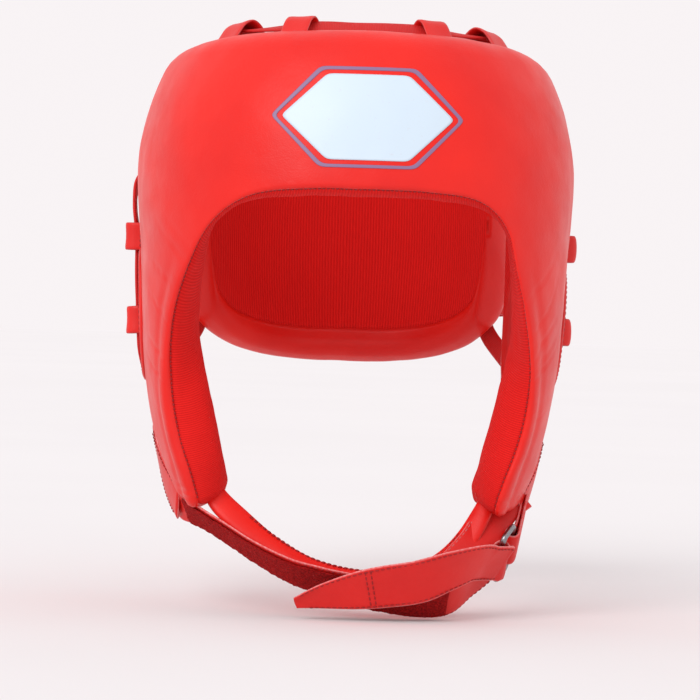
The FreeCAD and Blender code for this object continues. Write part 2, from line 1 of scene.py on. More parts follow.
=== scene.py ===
import copy
import math

import bmesh
import bpy
import numpy as np
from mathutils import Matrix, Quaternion, Vector, noise
from mathutils.bvhtree import BVHTree


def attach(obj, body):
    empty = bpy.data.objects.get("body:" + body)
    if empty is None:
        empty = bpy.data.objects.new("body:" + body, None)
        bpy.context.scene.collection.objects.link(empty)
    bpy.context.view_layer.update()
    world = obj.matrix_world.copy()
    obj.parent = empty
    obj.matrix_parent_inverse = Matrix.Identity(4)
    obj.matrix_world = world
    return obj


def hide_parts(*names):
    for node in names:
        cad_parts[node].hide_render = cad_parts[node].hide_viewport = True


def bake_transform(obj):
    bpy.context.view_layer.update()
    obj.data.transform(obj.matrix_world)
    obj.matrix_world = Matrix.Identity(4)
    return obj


# Boxing headgear: the looks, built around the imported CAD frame, in the same frame.
# +X is the wearer's left, -Y the way the wearer faces, +Z up. Shapes are in millimetres, with
# angles in degrees from straight ahead, and make_piece turns them into the scene's metres.
# The blends between bodies, the materials, the lamp and the camera are in metres.
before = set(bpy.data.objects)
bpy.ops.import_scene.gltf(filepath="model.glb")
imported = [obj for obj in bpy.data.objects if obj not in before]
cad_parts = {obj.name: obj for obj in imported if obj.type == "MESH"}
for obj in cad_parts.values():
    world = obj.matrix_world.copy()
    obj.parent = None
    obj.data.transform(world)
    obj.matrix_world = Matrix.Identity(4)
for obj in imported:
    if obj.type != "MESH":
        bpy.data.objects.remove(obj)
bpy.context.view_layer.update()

MM = 0.001
FRONT_BODY = "front_shell"
REAR_BODY = "rear_pad"
CHIN_BODY = "chin_strap_body"
TONGUE_BODY = "chin_tongue_body"

# ---- dimensions shared with the CAD (millimetres, degrees) ----------------------------------
FORM_MID_Z, FORM_RISE, FORM_DROP, FORM_REAR_DROP = -15.0, 97.0, 158.0, 125.0
FORM_HALF_WIDTH, FORM_FRONT, FORM_REAR = 79.0, 96.0, 97.0
FORM_PROFILE_POWER, FORM_PLAN_POWER = 2.6, 2.35
PAD_FRONT, PAD_SIDE, PAD_REAR = 24.5, 20.5, 20.0
SKIN = 1.4
FOAM_GAP, FOAM_MARGIN = 1.6, 4.5

# seam angle, seam z, lip angle, lip z, rim angle, rim z: centre line to cheek tip
FRONT_HALF = (
    (0.0, 0.0, 0.0, 1.0, 0.0, 60.0),
    (13.0, -0.3, 17.0, 0.5, 23.0, 59.5),
    (24.0, -3.5, 34.0, -2.5, 46.0, 58.0),
    (31.0, -14.0, 45.0, -13.0, 70.0, 55.5),
    (35.0, -32.0, 50.0, -31.0, 93.0, 50.0),
    (39.5, -53.0, 53.5, -51.0, 109.0, 36.0),
    (43.0, -73.0, 54.5, -69.0, 117.0, 6.0),
    (45.3, -91.0, 50.0, -88.0, 118.5, -32.0),
    (45.0, -106.0, 47.5, -104.0, 115.0, -68.0),
    (43.0, -119.0, 47.5, -118.0, 102.0, -99.0),
    (43.0, -130.0, 49.5, -129.0, 80.0, -124.0),
    (47.0, -137.5, 53.0, -136.0, 62.0, -137.5),
)
# angle, bottom z, top z: centre line to side edge
REAR_HALF = (
    (180.0, -72.0, 47.0),
    (168.0, -72.0, 47.0),
    (156.0, -70.0, 46.0),
    (145.0, -65.0, 43.0),
    (137.0, -56.0, 36.0),
    (132.0, -44.0, 26.0),
)
EAR_Y, EAR_Z, EAR_HEIGHT, EAR_LENGTH, EAR_SAMPLES = 7.0, -57.0, 52.0, 36.0, 72


# ---- head form ------------------------------------------------------------------------------
def form_base(degrees, z):
    """Points of the head form (mm) at angles from straight ahead and heights; arrays."""
    angle = np.radians(degrees)
    across, ahead = np.sin(angle), np.cos(angle)
    above = z > FORM_MID_Z
    share = np.where(above, (z - FORM_MID_Z) / FORM_RISE, (FORM_MID_Z - z) / FORM_DROP)
    share = np.clip(share, 0.0, 0.999)
    swell = (1.0 - share ** FORM_PROFILE_POWER) ** (1.0 / FORM_PROFILE_POWER)
    tuck = np.clip((FORM_MID_Z - z) / FORM_REAR_DROP, 0.0, 0.999)
    nape = np.where(above, swell, np.sqrt(1.0 - tuck ** 2))
    depth = np.where(ahead >= 0.0, FORM_FRONT * swell, FORM_REAR * nape)
    reach = (np.abs(across) / (FORM_HALF_WIDTH * swell)) ** FORM_PLAN_POWER
    reach = reach + (np.abs(ahead) / depth) ** FORM_PLAN_POWER
    radius = reach ** (-1.0 / FORM_PLAN_POWER)
    return np.stack([radius * across, -radius * ahead, z + 0.0 * angle], axis=-1)


def unit(vectors):
    """Vectors scaled to length 1."""
    return vectors / np.maximum(np.linalg.norm(vectors, axis=-1, keepdims=True), 1e-12)


def form_normal(degrees, z):
    """Outward normals of the head form."""
    along = form_base(degrees + 0.05, z) - form_base(degrees - 0.05, z)
    upward = form_base(degrees, z + 0.05) - form_base(degrees, z - 0.05)
    return unit(np.cross(along, upward))


def form_point(degrees, z, offset):
    """Points some mm out from the head form along its normal."""
    degrees, z = np.asarray(degrees, float), np.asarray(z, float)
    return form_base(degrees, z) + form_normal(degrees, z) * np.asarray(offset, float)[..., None]


def ease(value):
    """Smooth step from 0 to 1."""
    value = np.clip(value, 0.0, 1.0)
    return value * value * (3.0 - 2.0 * value)


def pad_depth(degrees, z):
    """Full padding depth: thick in front, thinner over the ears and behind."""
    around = np.abs(degrees)
    side_share = ease((around - 40.0) / 40.0) * ease((20.0 - z) / 50.0)
    front = PAD_FRONT - (PAD_FRONT - PAD_SIDE) * side_share
    return np.where(around > 125.0, PAD_REAR, front)


def catmull(rows, where):
    """Catmull-Rom values of a row table at fractional row numbers."""
    rows = np.asarray(rows, float)
    where = np.clip(np.asarray(where, float), 0.0, len(rows) - 1.0)
    index = np.minimum(where.astype(int), len(rows) - 2)
    t = (where - index)[..., None]
    a = rows[np.maximum(index - 1, 0)]
    b, c = rows[index], rows[index + 1]
    d = rows[np.minimum(index + 2, len(rows) - 1)]
    value = 2.0 * b + (c - a) * t
    value = value + (2.0 * a - 5.0 * b + 4.0 * c - d) * t ** 2
    value = value + (3.0 * b - a - 3.0 * c + d) * t ** 3
    return 0.5 * value


def bump(value, width):
    """Bell curve of height 1 round zero."""
    return np.exp(-(value / width) ** 2)


def rough_field(points, scale, seed):
    """Smooth noise in -1..1 at points in mm, one value each."""
    flat = points.reshape(-1, 3) / scale + seed
    values = [noise.noise(Vector(point)) for point in flat]
    return np.array(values).reshape(points.shape[:-1])


# ---- mesh helpers ---------------------------------------------------------------------------
def make_piece(name, points_mm, faces, material, attributes=None, smooth=True):
    """Mesh object from points in mm; attributes are named per-point vectors for the materials."""
    mesh = bpy.data.meshes.new(name)
    mesh.from_pydata((np.asarray(points_mm).reshape(-1, 3) * MM).tolist(), [], faces)
    for key, values in (attributes or {}).items():
        layer = mesh.attributes.new(key, "FLOAT_VECTOR", "POINT")
        layer.data.foreach_set("vector", np.asarray(values, np.float32).reshape(-1))
    mesh.polygons.foreach_set("use_smooth", [smooth] * len(mesh.polygons))
    mesh.materials.append(material)
    mesh.validate()
    piece = bpy.data.objects.new(name, mesh)
    bpy.context.scene.collection.objects.link(piece)
    return piece


def grid_quads(rows, columns, start=0, flip=False, wrap_rows=False, wrap_columns=False):
    """Quads of a grid of points stored row by row."""
    faces = []
    for i in range(rows if wrap_rows else rows - 1):
        for j in range(columns if wrap_columns else columns - 1):
            a = start + i * columns + j
            b = start + i * columns + (j + 1) % columns
            c = start + ((i + 1) % rows) * columns + (j + 1) % columns
            d = start + ((i + 1) % rows) * columns + j
            faces.append((a, d, c, b) if flip else (a, b, c, d))
    return faces


def closed_sheet(name, outer, inner, material, attributes):
    """Closed thin skin between two grids of the same size, pinched shut at both row ends."""
    rows, columns, _ = outer.shape
    count = rows * columns
    faces = grid_quads(rows, columns) + grid_quads(rows, columns, start=count, flip=True)
    for i in range(rows - 1):
        a, d = i * columns, (i + 1) * columns
        faces.append((a, d, d + count, a + count))
        a, d = a + columns - 1, d + columns - 1
        faces.append((d, a, a + count, d + count))
    for i in (0, rows - 1):
        row = range(i * columns, i * columns + columns - 1)
        for a in row:
            quad = (a, a + count, a + 1 + count, a + 1)
            faces.append(quad if i == 0 else quad[::-1])
    points = np.concatenate([outer.reshape(-1, 3), inner.reshape(-1, 3)])
    doubled = {key: np.concatenate([value.reshape(-1, 3)] * 2) for key, value in attributes.items()}
    return make_piece(name, points, faces, material, doubled)


# ---- padded bands ---------------------------------------------------------------------------
def corner(cx, cy, radius, start, count):
    """Quarter turn of a profile, clockwise from a start angle."""
    turn = np.radians(np.linspace(start, start - 90.0, count))
    return np.stack([cx + radius * np.cos(turn), cy + radius * np.sin(turn)], axis=-1)


RIM_PUFF, SEAM_PUFF_REACH, RIM_PUFF_REACH = 1.5, 5.0, 6.0


class Band:
    """A stuffed strip on the head form, as a closed tube: stations along it, a profile round it.

    The profile runs from the seam over the outside, the rim, the inside and the lip back to
    the seam. Points are placed by share w of the way from opening to rim and share f of the
    depth, so the opening wall slants from the seam row to the lip row as in the CAD.
    """

    def __init__(self, rows, radii, end_radius, pole, spacing, counts, puff=1.5, margin=0.0):
        self.radii = radii
        self.pole = pole
        self.counts = counts
        self.puff = puff
        self.place_stations(np.asarray(rows, float), end_radius, spacing, margin)

    def place_stations(self, rows, end_radius, spacing, margin):
        """Stations along the band, closer together where it rounds off at its two ends."""
        dense = np.linspace(0.0, len(rows) - 1.0, 1200)
        values = catmull(rows, dense)
        angle = 0.25 * (values[:, 0] + values[:, 2]) + 0.5 * values[:, 4]
        height = 0.25 * (values[:, 1] + values[:, 3]) + 0.5 * values[:, 5]
        middle = form_point(angle, height, 10.0)
        steps = np.linalg.norm(np.diff(middle, axis=0), axis=1)
        length_at = np.concatenate([[0.0], np.cumsum(steps)])
        total = length_at[-1] - 2.0 * margin
        end = end_radius * (1.0 - np.cos(np.linspace(0.0, 0.5 * math.pi, 9)))
        body = np.linspace(end_radius, total - end_radius, int(total / spacing))
        self.along = np.concatenate([end[:-1], body, (total - end[:-1])[::-1]])
        self.where = np.interp(self.along + margin, length_at, dense)
        self.values = catmull(rows, self.where)
        rest = np.minimum(self.along, total - self.along) / end_radius
        self.shrink = np.sqrt(np.maximum(1.0 - (1.0 - np.clip(rest, 0.0, 1.0)) ** 2, 0.0))

    def widths(self):
        start = form_point(self.values[:, 0], self.values[:, 1], 12.0)
        end = form_point(self.values[:, 4], self.values[:, 5], 12.0)
        return np.linalg.norm(end - start, axis=1)

    def profile(self, width, depth, inset):
        """Profile points in mm across and mm deep, round the four corners in turn."""
        seam, rim_out, rim_in, lip = [min(r, 0.42 * width, 0.46 * depth) for r in self.radii]
        low, high, near, far = inset, depth - inset, inset, width - inset
        seam, rim_out, rim_in, lip = [max(r - inset, 0.6) for r in (seam, rim_out, rim_in, lip)]
        n_face, n_corner, n_wall, n_inner = self.counts
        return np.concatenate([
            corner(near + seam, high - seam, seam, 180.0, n_corner),
            np.linspace((near + seam, high), (far - rim_out, high), n_face)[1:-1],
            corner(far - rim_out, high - rim_out, rim_out, 90.0, n_corner),
            np.linspace((far, high - rim_out), (far, low + rim_in), n_wall)[1:-1],
            corner(far - rim_in, low + rim_in, rim_in, 0.0, n_corner),
            np.linspace((far - rim_in, low), (near + lip, low), n_inner)[1:-1],
            corner(near + lip, low + lip, lip, -90.0, n_corner),
            np.linspace((near, low + lip), (near, high - seam), n_wall)[1:],
        ])

    def tube(self, inset):
        """Grid of points, stations by profile, plus each point's mm from the seam round the profile."""
        points, arcs = [], []
        for index, width in enumerate(self.widths()):
            a0, z0, a1, z1, a2, z2 = self.values[index]
            depth = float(pad_depth(np.array(0.5 * (a0 + a2)), np.array(0.5 * (z0 + z2))))
            flat = self.profile(width, depth, inset)
            wall = np.sin(math.pi * np.clip(flat[:, 1] / depth, 0.0, 1.0))
            swell_seam = self.puff * wall * bump(flat[:, 0], SEAM_PUFF_REACH)
            swell_rim = RIM_PUFF * wall * bump(width - flat[:, 0], RIM_PUFF_REACH)
            w = (flat[:, 0] - swell_seam + swell_rim) / width
            f = flat[:, 1] / depth
            k = self.shrink[index]
            w = self.pole[0] + (w - self.pole[0]) * k
            f = self.pole[1] + (f - self.pole[1]) * k
            lean = np.clip(f, 0.0, 1.0)
            angle = (a1 + (a0 - a1) * lean) * (1.0 - w) + a2 * w
            height = (z1 + (z0 - z1) * lean) * (1.0 - w) + z2 * w
            points.append(form_point(angle, height, f * pad_depth(angle, height)))
            steps = np.linalg.norm(np.diff(flat, axis=0), axis=1)
            arcs.append(np.concatenate([[0.0], np.cumsum(steps)]))
        return np.array(points), np.array(arcs)

    def columns(self):
        """Number of profile points; the last one repeats the first."""
        n_face, n_corner, n_wall, n_inner = self.counts
        return 4 * n_corner + (n_face - 2) + (n_wall - 2) + (n_inner - 2) + (n_wall - 1)

    def split(self):
        """Profile index where the leather stops and the lining starts."""
        n_face, n_corner, n_wall, _ = self.counts
        return n_corner + (n_face - 2) + n_corner + (n_wall - 2) + n_corner - 2


def grid_normals(grid):
    """Outward normals of a station by profile grid whose profile closes on itself."""
    around = np.roll(grid, -1, axis=1) - np.roll(grid, 1, axis=1)
    along = np.gradient(grid, axis=0)
    return unit(np.cross(along, around))


# ---- straps, laces, stitches ----------------------------------------------------------------
class Strap:
    """Sampled centre line of a flat strap: points, width axes, face normals and widths."""

    def __init__(self, points, across, widths, step=1.2, closed=False):
        points = np.asarray(points, float)
        across = np.asarray(across, float)
        widths = np.broadcast_to(np.asarray(widths, float), len(points))
        table = np.concatenate([points, across, widths[:, None]], axis=1)
        if closed:
            table = np.concatenate([table[-2:], table, table[:3]])
        spare = 2.0 if closed else 0.0
        last = len(table) - (3.0 if closed else 1.0)
        dense = np.linspace(spare, last, 40 * len(table))
        path = catmull(table[:, :3], dense)
        length = np.concatenate([[0.0], np.cumsum(np.linalg.norm(np.diff(path, axis=0), axis=1))])
        count = max(int(length[-1] / step), 6)
        marks = np.linspace(0.0, length[-1], count + 1)
        if closed:
            marks = marks[:-1]
        values = catmull(table, np.interp(marks, length, dense))
        self.closed = closed
        self.along = marks
        self.points = values[:, :3]
        self.width = values[:, 6]
        ahead = np.gradient(self.points, axis=0)
        if closed:
            ahead = np.roll(self.points, -1, axis=0) - np.roll(self.points, 1, axis=0)
        self.ahead = unit(ahead)
        side = values[:, 3:6]
        side = side - self.ahead * np.sum(side * self.ahead, axis=1, keepdims=True)
        self.side = unit(side)
        self.out = np.cross(self.ahead, self.side)

    def spot(self, across, lift):
        """Points at a share of the half width across and mm above the middle of the strap."""
        half = 0.5 * self.width * across
        return self.points + self.side * half[:, None] + self.out * np.asarray(lift)[..., None]

    def layer(self, first, last, trim, lift):
        """A narrower strap lying on part of this one, so that a patch follows it exactly."""
        part = copy.copy(self)
        keep = slice(first, last)
        part.points = self.points[keep] + self.out[keep] * lift
        part.side, part.out, part.ahead = self.side[keep], self.out[keep], self.ahead[keep]
        part.width = self.width[keep] - trim
        part.along = self.along[keep] - self.along[first]
        return part

    def nearest(self, point):
        """Index of the sample closest to a point."""
        return int(np.argmin(np.linalg.norm(self.points - np.asarray(point), axis=1)))

    def mesh(self, name, thick, material, cup=0.0, crown=0.0, ripple=0.0, seed=0.0, cells=10):
        """Closed strap with rounded edges; the ends are rounded shut unless it is a closed loop."""
        c = np.cos(np.linspace(math.pi, 0.0, cells))
        ring_across = np.concatenate([c, c[::-1][1:-1]])
        upper = np.concatenate([np.ones(cells), -np.ones(cells - 2)])
        edge_round = np.sqrt(np.maximum(1.0 - np.abs(ring_across) ** 6, 0.0))
        count = len(self.points)
        grid = []
        rub = rough_field(self.points, 14.0, seed) * ripple
        for a, sign, rounded in zip(ring_across, upper, edge_round):
            lift = sign * 0.5 * thick * rounded + crown * (1.0 - a * a) - cup * a * a
            grid.append(self.spot(a, np.full(count, lift) + rub))
        grid = np.stack(grid, axis=1)
        columns = grid.shape[1]
        faces = grid_quads(count, columns, wrap_rows=self.closed, wrap_columns=True)
        points = grid.reshape(-1, 3)
        info = np.zeros((count, columns, 3))
        info[..., 0] = self.along[:, None] * MM
        info[..., 1] = ring_across[None, :] * 0.5 * self.width[:, None] * MM
        info[..., 2] = np.abs(ring_across)[None, :] ** 4
        info = info.reshape(-1, 3)
        if not self.closed:
            for i, direction in ((0, -1.0), (count - 1, 1.0)):
                start = i * columns
                centre = len(points)
                tip = grid[i].mean(axis=0) + self.ahead[i] * direction * 0.25 * thick
                points = np.concatenate([points, tip[None]])
                info = np.concatenate([info, [[self.along[i] * MM, 0.0, 1.0]]])
                for j in range(columns):
                    a, b = start + j, start + (j + 1) % columns
                    faces.append((a, b, centre) if i == 0 else (b, a, centre))
        piece = make_piece(name, points, faces, material, {"weave": info})
        face_outward(piece)
        return piece


def face_outward(piece, merge=False):
    """Turn a closed piece's faces outward; merge also joins the points that meet at its ends."""
    work = bmesh.new()
    work.from_mesh(piece.data)
    if merge:
        bmesh.ops.remove_doubles(work, verts=work.verts, dist=2e-6)
        bmesh.ops.dissolve_degenerate(work, edges=work.edges, dist=1e-6)
    bmesh.ops.recalc_face_normals(work, faces=work.faces)
    work.to_mesh(piece.data)
    work.free()


def resample(points, pitch, closed=False):
    """Points every pitch mm along a polyline, with their directions."""
    if closed:
        points = np.concatenate([points, points[:1]])
    length = np.concatenate([[0.0], np.cumsum(np.linalg.norm(np.diff(points, axis=0), axis=1))])
    marks = np.arange(0.5 * pitch, length[-1], pitch)
    placed = np.stack([np.interp(marks, length, points[:, k]) for k in range(3)], axis=-1)
    ahead = np.stack([np.interp(marks + 0.3, length, points[:, k]) for k in range(3)], axis=-1) - placed
    return placed, unit(ahead), np.interp(marks, length, np.arange(len(points)))


def stitches(name, points, outward, pitch, length, radius, material, closed=False):
    """A row of short rounded thread stitches lying on a line, as one piece."""
    placed, ahead, where = resample(np.asarray(points, float), pitch, closed)
    outward = np.asarray(outward, float)
    index = np.minimum(where.round().astype(int), len(outward) - 1)
    up = unit(outward[index] - ahead * np.sum(outward[index] * ahead, axis=1, keepdims=True))
    side = np.cross(ahead, up)
    sides = 6
    turn = np.linspace(0.0, 2.0 * math.pi, sides + 1)[:-1]
    stations = ((-0.5, 0.45), (-0.3, 0.95), (0.0, 1.1), (0.3, 0.95), (0.5, 0.45))
    size = len(stations) * sides
    shape = []
    for share, swell in stations:
        rise = 0.35 * radius * (1.0 - (2.0 * share) ** 2)
        for angle in turn:
            aside, above = swell * radius * math.cos(angle), swell * radius * math.sin(angle)
            shape.append((share * length, aside, above + rise))
    shape = np.array(shape)
    base = grid_quads(len(stations), sides, wrap_columns=True)
    base += [tuple(range(sides))[::-1], tuple(range(size - sides, size))]
    verts, faces = [], []
    for i in range(len(placed)):
        verts.append(placed[i] + shape[:, :1] * ahead[i] + shape[:, 1:2] * side[i] + shape[:, 2:3] * up[i])
        faces += [tuple(v + size * i for v in face) for face in base]
    piece = make_piece(name, np.concatenate(verts), faces, material)
    face_outward(piece)
    return piece


# ---- materials ------------------------------------------------------------------------------
class Nodes:
    """Small helper for building one procedural material."""

    def __init__(self, name):
        self.material = bpy.data.materials.new(name)
        self.material.use_nodes = True
        self.tree = self.material.node_tree
        self.shader = self.tree.nodes["Principled BSDF"]
        self.place = self.add("ShaderNodeTexCoord").outputs["Object"]

    def add(self, kind, **settings):
        node = self.tree.nodes.new(kind)
        for key, value in settings.items():
            setattr(node, key, value)
        return node

    def link(self, source, target):
        self.tree.links.new(source, target)

    def noise(self, scale, detail=3.0, roughness=0.5, stretch=None):
        node = self.add("ShaderNodeTexNoise")
        node.inputs["Scale"].default_value = scale
        node.inputs["Detail"].default_value = detail
        node.inputs["Roughness"].default_value = roughness
        source = self.place
        if stretch:
            mapping = self.add("ShaderNodeMapping")
            mapping.inputs["Scale"].default_value = stretch
            self.link(source, mapping.inputs["Vector"])
            source = mapping.outputs["Vector"]
        self.link(source, node.inputs["Vector"])
        return node.outputs["Fac"]

    def voronoi(self, scale):
        node = self.add("ShaderNodeTexVoronoi", feature="F1")
        node.inputs["Scale"].default_value = scale
        self.link(self.place, node.inputs["Vector"])
        return node.outputs["Distance"]

    def weave(self, channel):
        """A piece's own measure: metres along it (0), metres across it (1), edge share (2)."""
        node = self.add("ShaderNodeAttribute", attribute_name="weave")
        split = self.add("ShaderNodeSeparateXYZ")
        self.link(node.outputs["Vector"], split.inputs[0])
        return split.outputs[channel]

    def math(self, operation, a, b=None):
        node = self.add("ShaderNodeMath", operation=operation)
        for socket, value in zip(node.inputs, (a, b)):
            if value is None:
                continue
            if isinstance(value, (int, float)):
                socket.default_value = value
            else:
                self.link(value, socket)
        return node.outputs[0]

    def ramp(self, value, low, high, out_low=0.0, out_high=1.0):
        node = self.add("ShaderNodeMapRange")
        node.inputs["From Min"].default_value = low
        node.inputs["From Max"].default_value = high
        node.inputs["To Min"].default_value = out_low
        node.inputs["To Max"].default_value = out_high
        self.link(value, node.inputs["Value"])
        return node.outputs[0]

    def mix(self, share, a, b):
        node = self.add("ShaderNodeMix", data_type="RGBA")
        self.link(share, node.inputs["Factor"])
        for socket, value in ((node.inputs[6], a), (node.inputs[7], b)):
            if isinstance(value, tuple):
                socket.default_value = (*value, 1.0)
            else:
                self.link(value, socket)
        return node.outputs[2]

    def bump(self, height, distance, strength=1.0, under=None):
        node = self.add("ShaderNodeBump")
        node.inputs["Strength"].default_value = strength
        node.inputs["Distance"].default_value = distance
        self.link(height, node.inputs["Height"])
        if under is not None:
            self.link(under, node.inputs["Normal"])
        return node.outputs["Normal"]

    def finish(self, color, roughness, normal=None, **constants):
        self.link(color, self.shader.inputs["Base Color"])
        if isinstance(roughness, float):
            self.shader.inputs["Roughness"].default_value = roughness
        else:
            self.link(roughness, self.shader.inputs["Roughness"])
        if normal is not None:
            self.link(normal, self.shader.inputs["Normal"])
        for key, value in constants.items():
            self.shader.inputs[key.replace("_", " ")].default_value = value
        return self.material


def leather(name, color, shade, rough, coat, edge=None):
    """Smooth coated leather: fine grain, soft creasing, faint colour drift, rubbed edges."""
    n = Nodes(name)
    drift = n.ramp(n.noise(22.0, 3.0), 0.35, 0.7)
    tone = n.mix(drift, shade, color)
    if edge is not None:
        near_edge = n.ramp(n.weave(2), 0.72, 0.98)
        speck = n.ramp(n.noise(900.0, 2.0), 0.35, 0.65, 0.35, 1.0)
        tone = n.mix(n.math("MULTIPLY", near_edge, speck), tone, edge)
    grain = n.voronoi(1500.0)
    pores = n.noise(2600.0, 2.0)
    creasing = n.noise(160.0, 4.0, 0.6)
    normal = n.bump(creasing, 0.00035, 0.5)
    normal = n.bump(grain, 0.00010, 0.45, normal)
    normal = n.bump(pores, 0.00005, 0.4, normal)
    sheen_break = n.ramp(n.noise(70.0, 4.0), 0.3, 0.7, rough - 0.05, rough + 0.07)
    return n.finish(tone, sheen_break, normal, Specular_IOR_Level=0.32,
                    Coat_Weight=coat, Coat_Roughness=0.3)


def ribbed_knit(name, color, shade, pitch_mm):
    """Fine ribbed lining: ribs across the band, from the piece's own weave measure."""
    n = Nodes(name)
    along = n.math("MULTIPLY", n.weave(0), 2.0 * math.pi / (pitch_mm * MM))
    wobble = n.math("MULTIPLY", n.noise(35.0, 1.0), 1.2)
    rib = n.math("SINE", n.math("ADD", along, wobble))
    rib = n.ramp(rib, -1.0, 1.0)
    cross = n.math("MULTIPLY", n.weave(1), 2.0 * math.pi / (0.9 * MM))
    loops = n.ramp(n.math("SINE", cross), -1.0, 1.0)
    tone = n.mix(rib, shade, color)
    tone = n.mix(n.ramp(n.noise(40.0, 3.0), 0.3, 0.75, 0.0, 0.25), tone, shade)
    normal = n.bump(rib, 0.00026, 0.6)
    normal = n.bump(loops, 0.00010, 0.35, normal)
    normal = n.bump(n.noise(2200.0, 3.0), 0.00010, 0.5, normal)
    return n.finish(tone, 0.88, normal, Specular_IOR_Level=0.15,
                    Sheen_Weight=0.15, Sheen_Roughness=0.5, Sheen_Tint=(0.9, 0.10, 0.10, 1.0))


def woven(name, color, shade, pitch_mm):
    """Flat woven lace: fine diagonal weave from the piece's own measure."""
    n = Nodes(name)
    turn = 2.0 * math.pi / (pitch_mm * MM)
    along, across = n.weave(0), n.weave(1)
    one = n.math("SINE", n.math("MULTIPLY", n.math("ADD", along, across), turn))
    two = n.math("SINE", n.math("MULTIPLY", n.math("SUBTRACT", along, across), turn))
    cell = n.ramp(n.math("MULTIPLY", one, two), -1.0, 1.0)
    tone = n.mix(cell, shade, color)
    tone = n.mix(n.ramp(n.noise(60.0, 3.0), 0.35, 0.8, 0.0, 0.3), tone, shade)
    normal = n.bump(cell, 0.00022, 0.7)
    normal = n.bump(n.noise(2500.0, 2.0), 0.00008, 0.5, normal)
    return n.finish(tone, 0.62, normal, Specular_IOR_Level=0.25,
                    Sheen_Weight=0.15, Sheen_Roughness=0.4, Sheen_Tint=(0.9, 0.12, 0.12, 1.0))


def pile(name, dark, light, scale, depth):
    """Loop or hook pile: a dense fuzzy speckle."""
    n = Nodes(name)
    tuft = n.noise(scale, 4.0, 0.7)
    cell = n.voronoi(scale * 0.8)
    tone = n.mix(n.ramp(tuft, 0.42, 0.66), dark, light)
    normal = n.bump(tuft, depth, 1.0)
    normal = n.bump(cell, depth * 0.6, 0.8, normal)
    return n.finish(tone, 0.95, normal, Specular_IOR_Level=0.10,
                    Sheen_Weight=0.3, Sheen_Roughness=0.6, Sheen_Tint=(0.8, 0.06, 0.06, 1.0))


def foam_core(name):
    """Dark open-cell foam."""
    n = Nodes(name)
    cell = n.voronoi(900.0)
    tone = n.mix(n.ramp(cell, 0.0, 0.6), (0.05, 0.05, 0.055), (0.20, 0.20, 0.21))
    return n.finish(tone, 0.95, n.bump(cell, 0.0003, 0.8))


def plated_wire(name):
    """Dull plated metal with scratches drawn out along one axis."""
    n = Nodes(name)
    scratch = n.noise(400.0, 3.0, 0.6, stretch=(1.0, 8.0, 8.0))
    tone = n.mix(n.ramp(scratch, 0.3, 0.7), (0.20, 0.20, 0.21), (0.38, 0.38, 0.40))
    rough = n.ramp(scratch, 0.3, 0.7, 0.18, 0.36)
    return n.finish(tone, rough, n.bump(scratch, 0.00004, 0.4), Metallic=1.0)


def printed_film(name, color, worn):
    """Thin print, rubbed through in places."""
    n = Nodes(name)
    rub = n.ramp(n.noise(500.0, 4.0, 0.7), 0.62, 0.78, 0.0, 0.35)
    tone = n.mix(rub, color, worn)
    normal = n.bump(n.noise(1500.0, 2.0), 0.00006, 0.4)
    return n.finish(tone, 0.38, normal, Specular_IOR_Level=0.4)


def thread(name, color, shade):
    """Twisted sewing thread."""
    n = Nodes(name)
    twist = n.noise(3200.0, 2.0, 0.5, stretch=(1.0, 1.0, 2.5))
    return n.finish(n.mix(n.ramp(twist, 0.3, 0.7), shade, color), 0.7, n.bump(twist, 0.0001, 0.6))


RED = (0.80, 0.0130, 0.0060)
RED_SHADE = (0.71, 0.0095, 0.0060)
STRAP_RED = (0.76, 0.020, 0.015)
STRAP_SHADE = (0.62, 0.013, 0.011)
EDGE_PINK = (0.80, 0.30, 0.30)
EDGE_RED = (0.74, 0.08, 0.07)
EDGE_DARK = (0.58, 0.09, 0.09)

SHELL = leather("leather_shell", RED, RED_SHADE, 0.40, 0.03)
STRAP = leather("leather_strap", STRAP_RED, STRAP_SHADE, 0.42, 0.03, EDGE_PINK)
SLING = leather("leather_sling", RED, RED_SHADE, 0.42, 0.03, EDGE_RED)
LOOPS = leather("leather_loops", STRAP_RED, STRAP_SHADE, 0.45, 0.02, EDGE_DARK)
KNIT = ribbed_knit("lining_knit", (0.80, 0.017, 0.014), (0.62, 0.009, 0.008), 1.6)
LACE = woven("lace_weave", (0.72, 0.024, 0.022), (0.46, 0.012, 0.012), 1.5)
LOOP_PILE = pile("loop_pile", (0.20, 0.003, 0.004), (0.48, 0.010, 0.010), 1100.0, 0.0006)
HOOK_PILE = pile("hook_pile", (0.14, 0.004, 0.005), (0.34, 0.012, 0.012), 1600.0, 0.0004)
FOAM = foam_core("foam_core")
WIRE = plated_wire("ring_wire")
BADGE_WHITE = printed_film("badge_white", (0.60, 0.72, 0.82), (0.56, 0.50, 0.54))
BADGE_LINE = printed_film("badge_line", (0.25, 0.15, 0.28), (0.34, 0.10, 0.14))
THREAD = thread("thread_red", (0.42, 0.010, 0.012), (0.22, 0.004, 0.006))
PALE_THREAD = thread("thread_pale", (0.74, 0.20, 0.20), (0.50, 0.08, 0.08))


# ---- padded shells --------------------------------------------------------------------------
FRONT_MIDDLE_ROW = len(FRONT_HALF) - 1
SEAM_STITCH = (2.0, 1.5, 0.36)
SEAM_BARE_ENDS = 9
REAR_INNER_COLUMNS = 48
EAR_CUT_FROM, EAR_CUT_THROUGH = 60.0, 70.0
SEAM_DRIFT_RIGHT, SEAM_DRIFT_LEFT = 5.0, -2.0


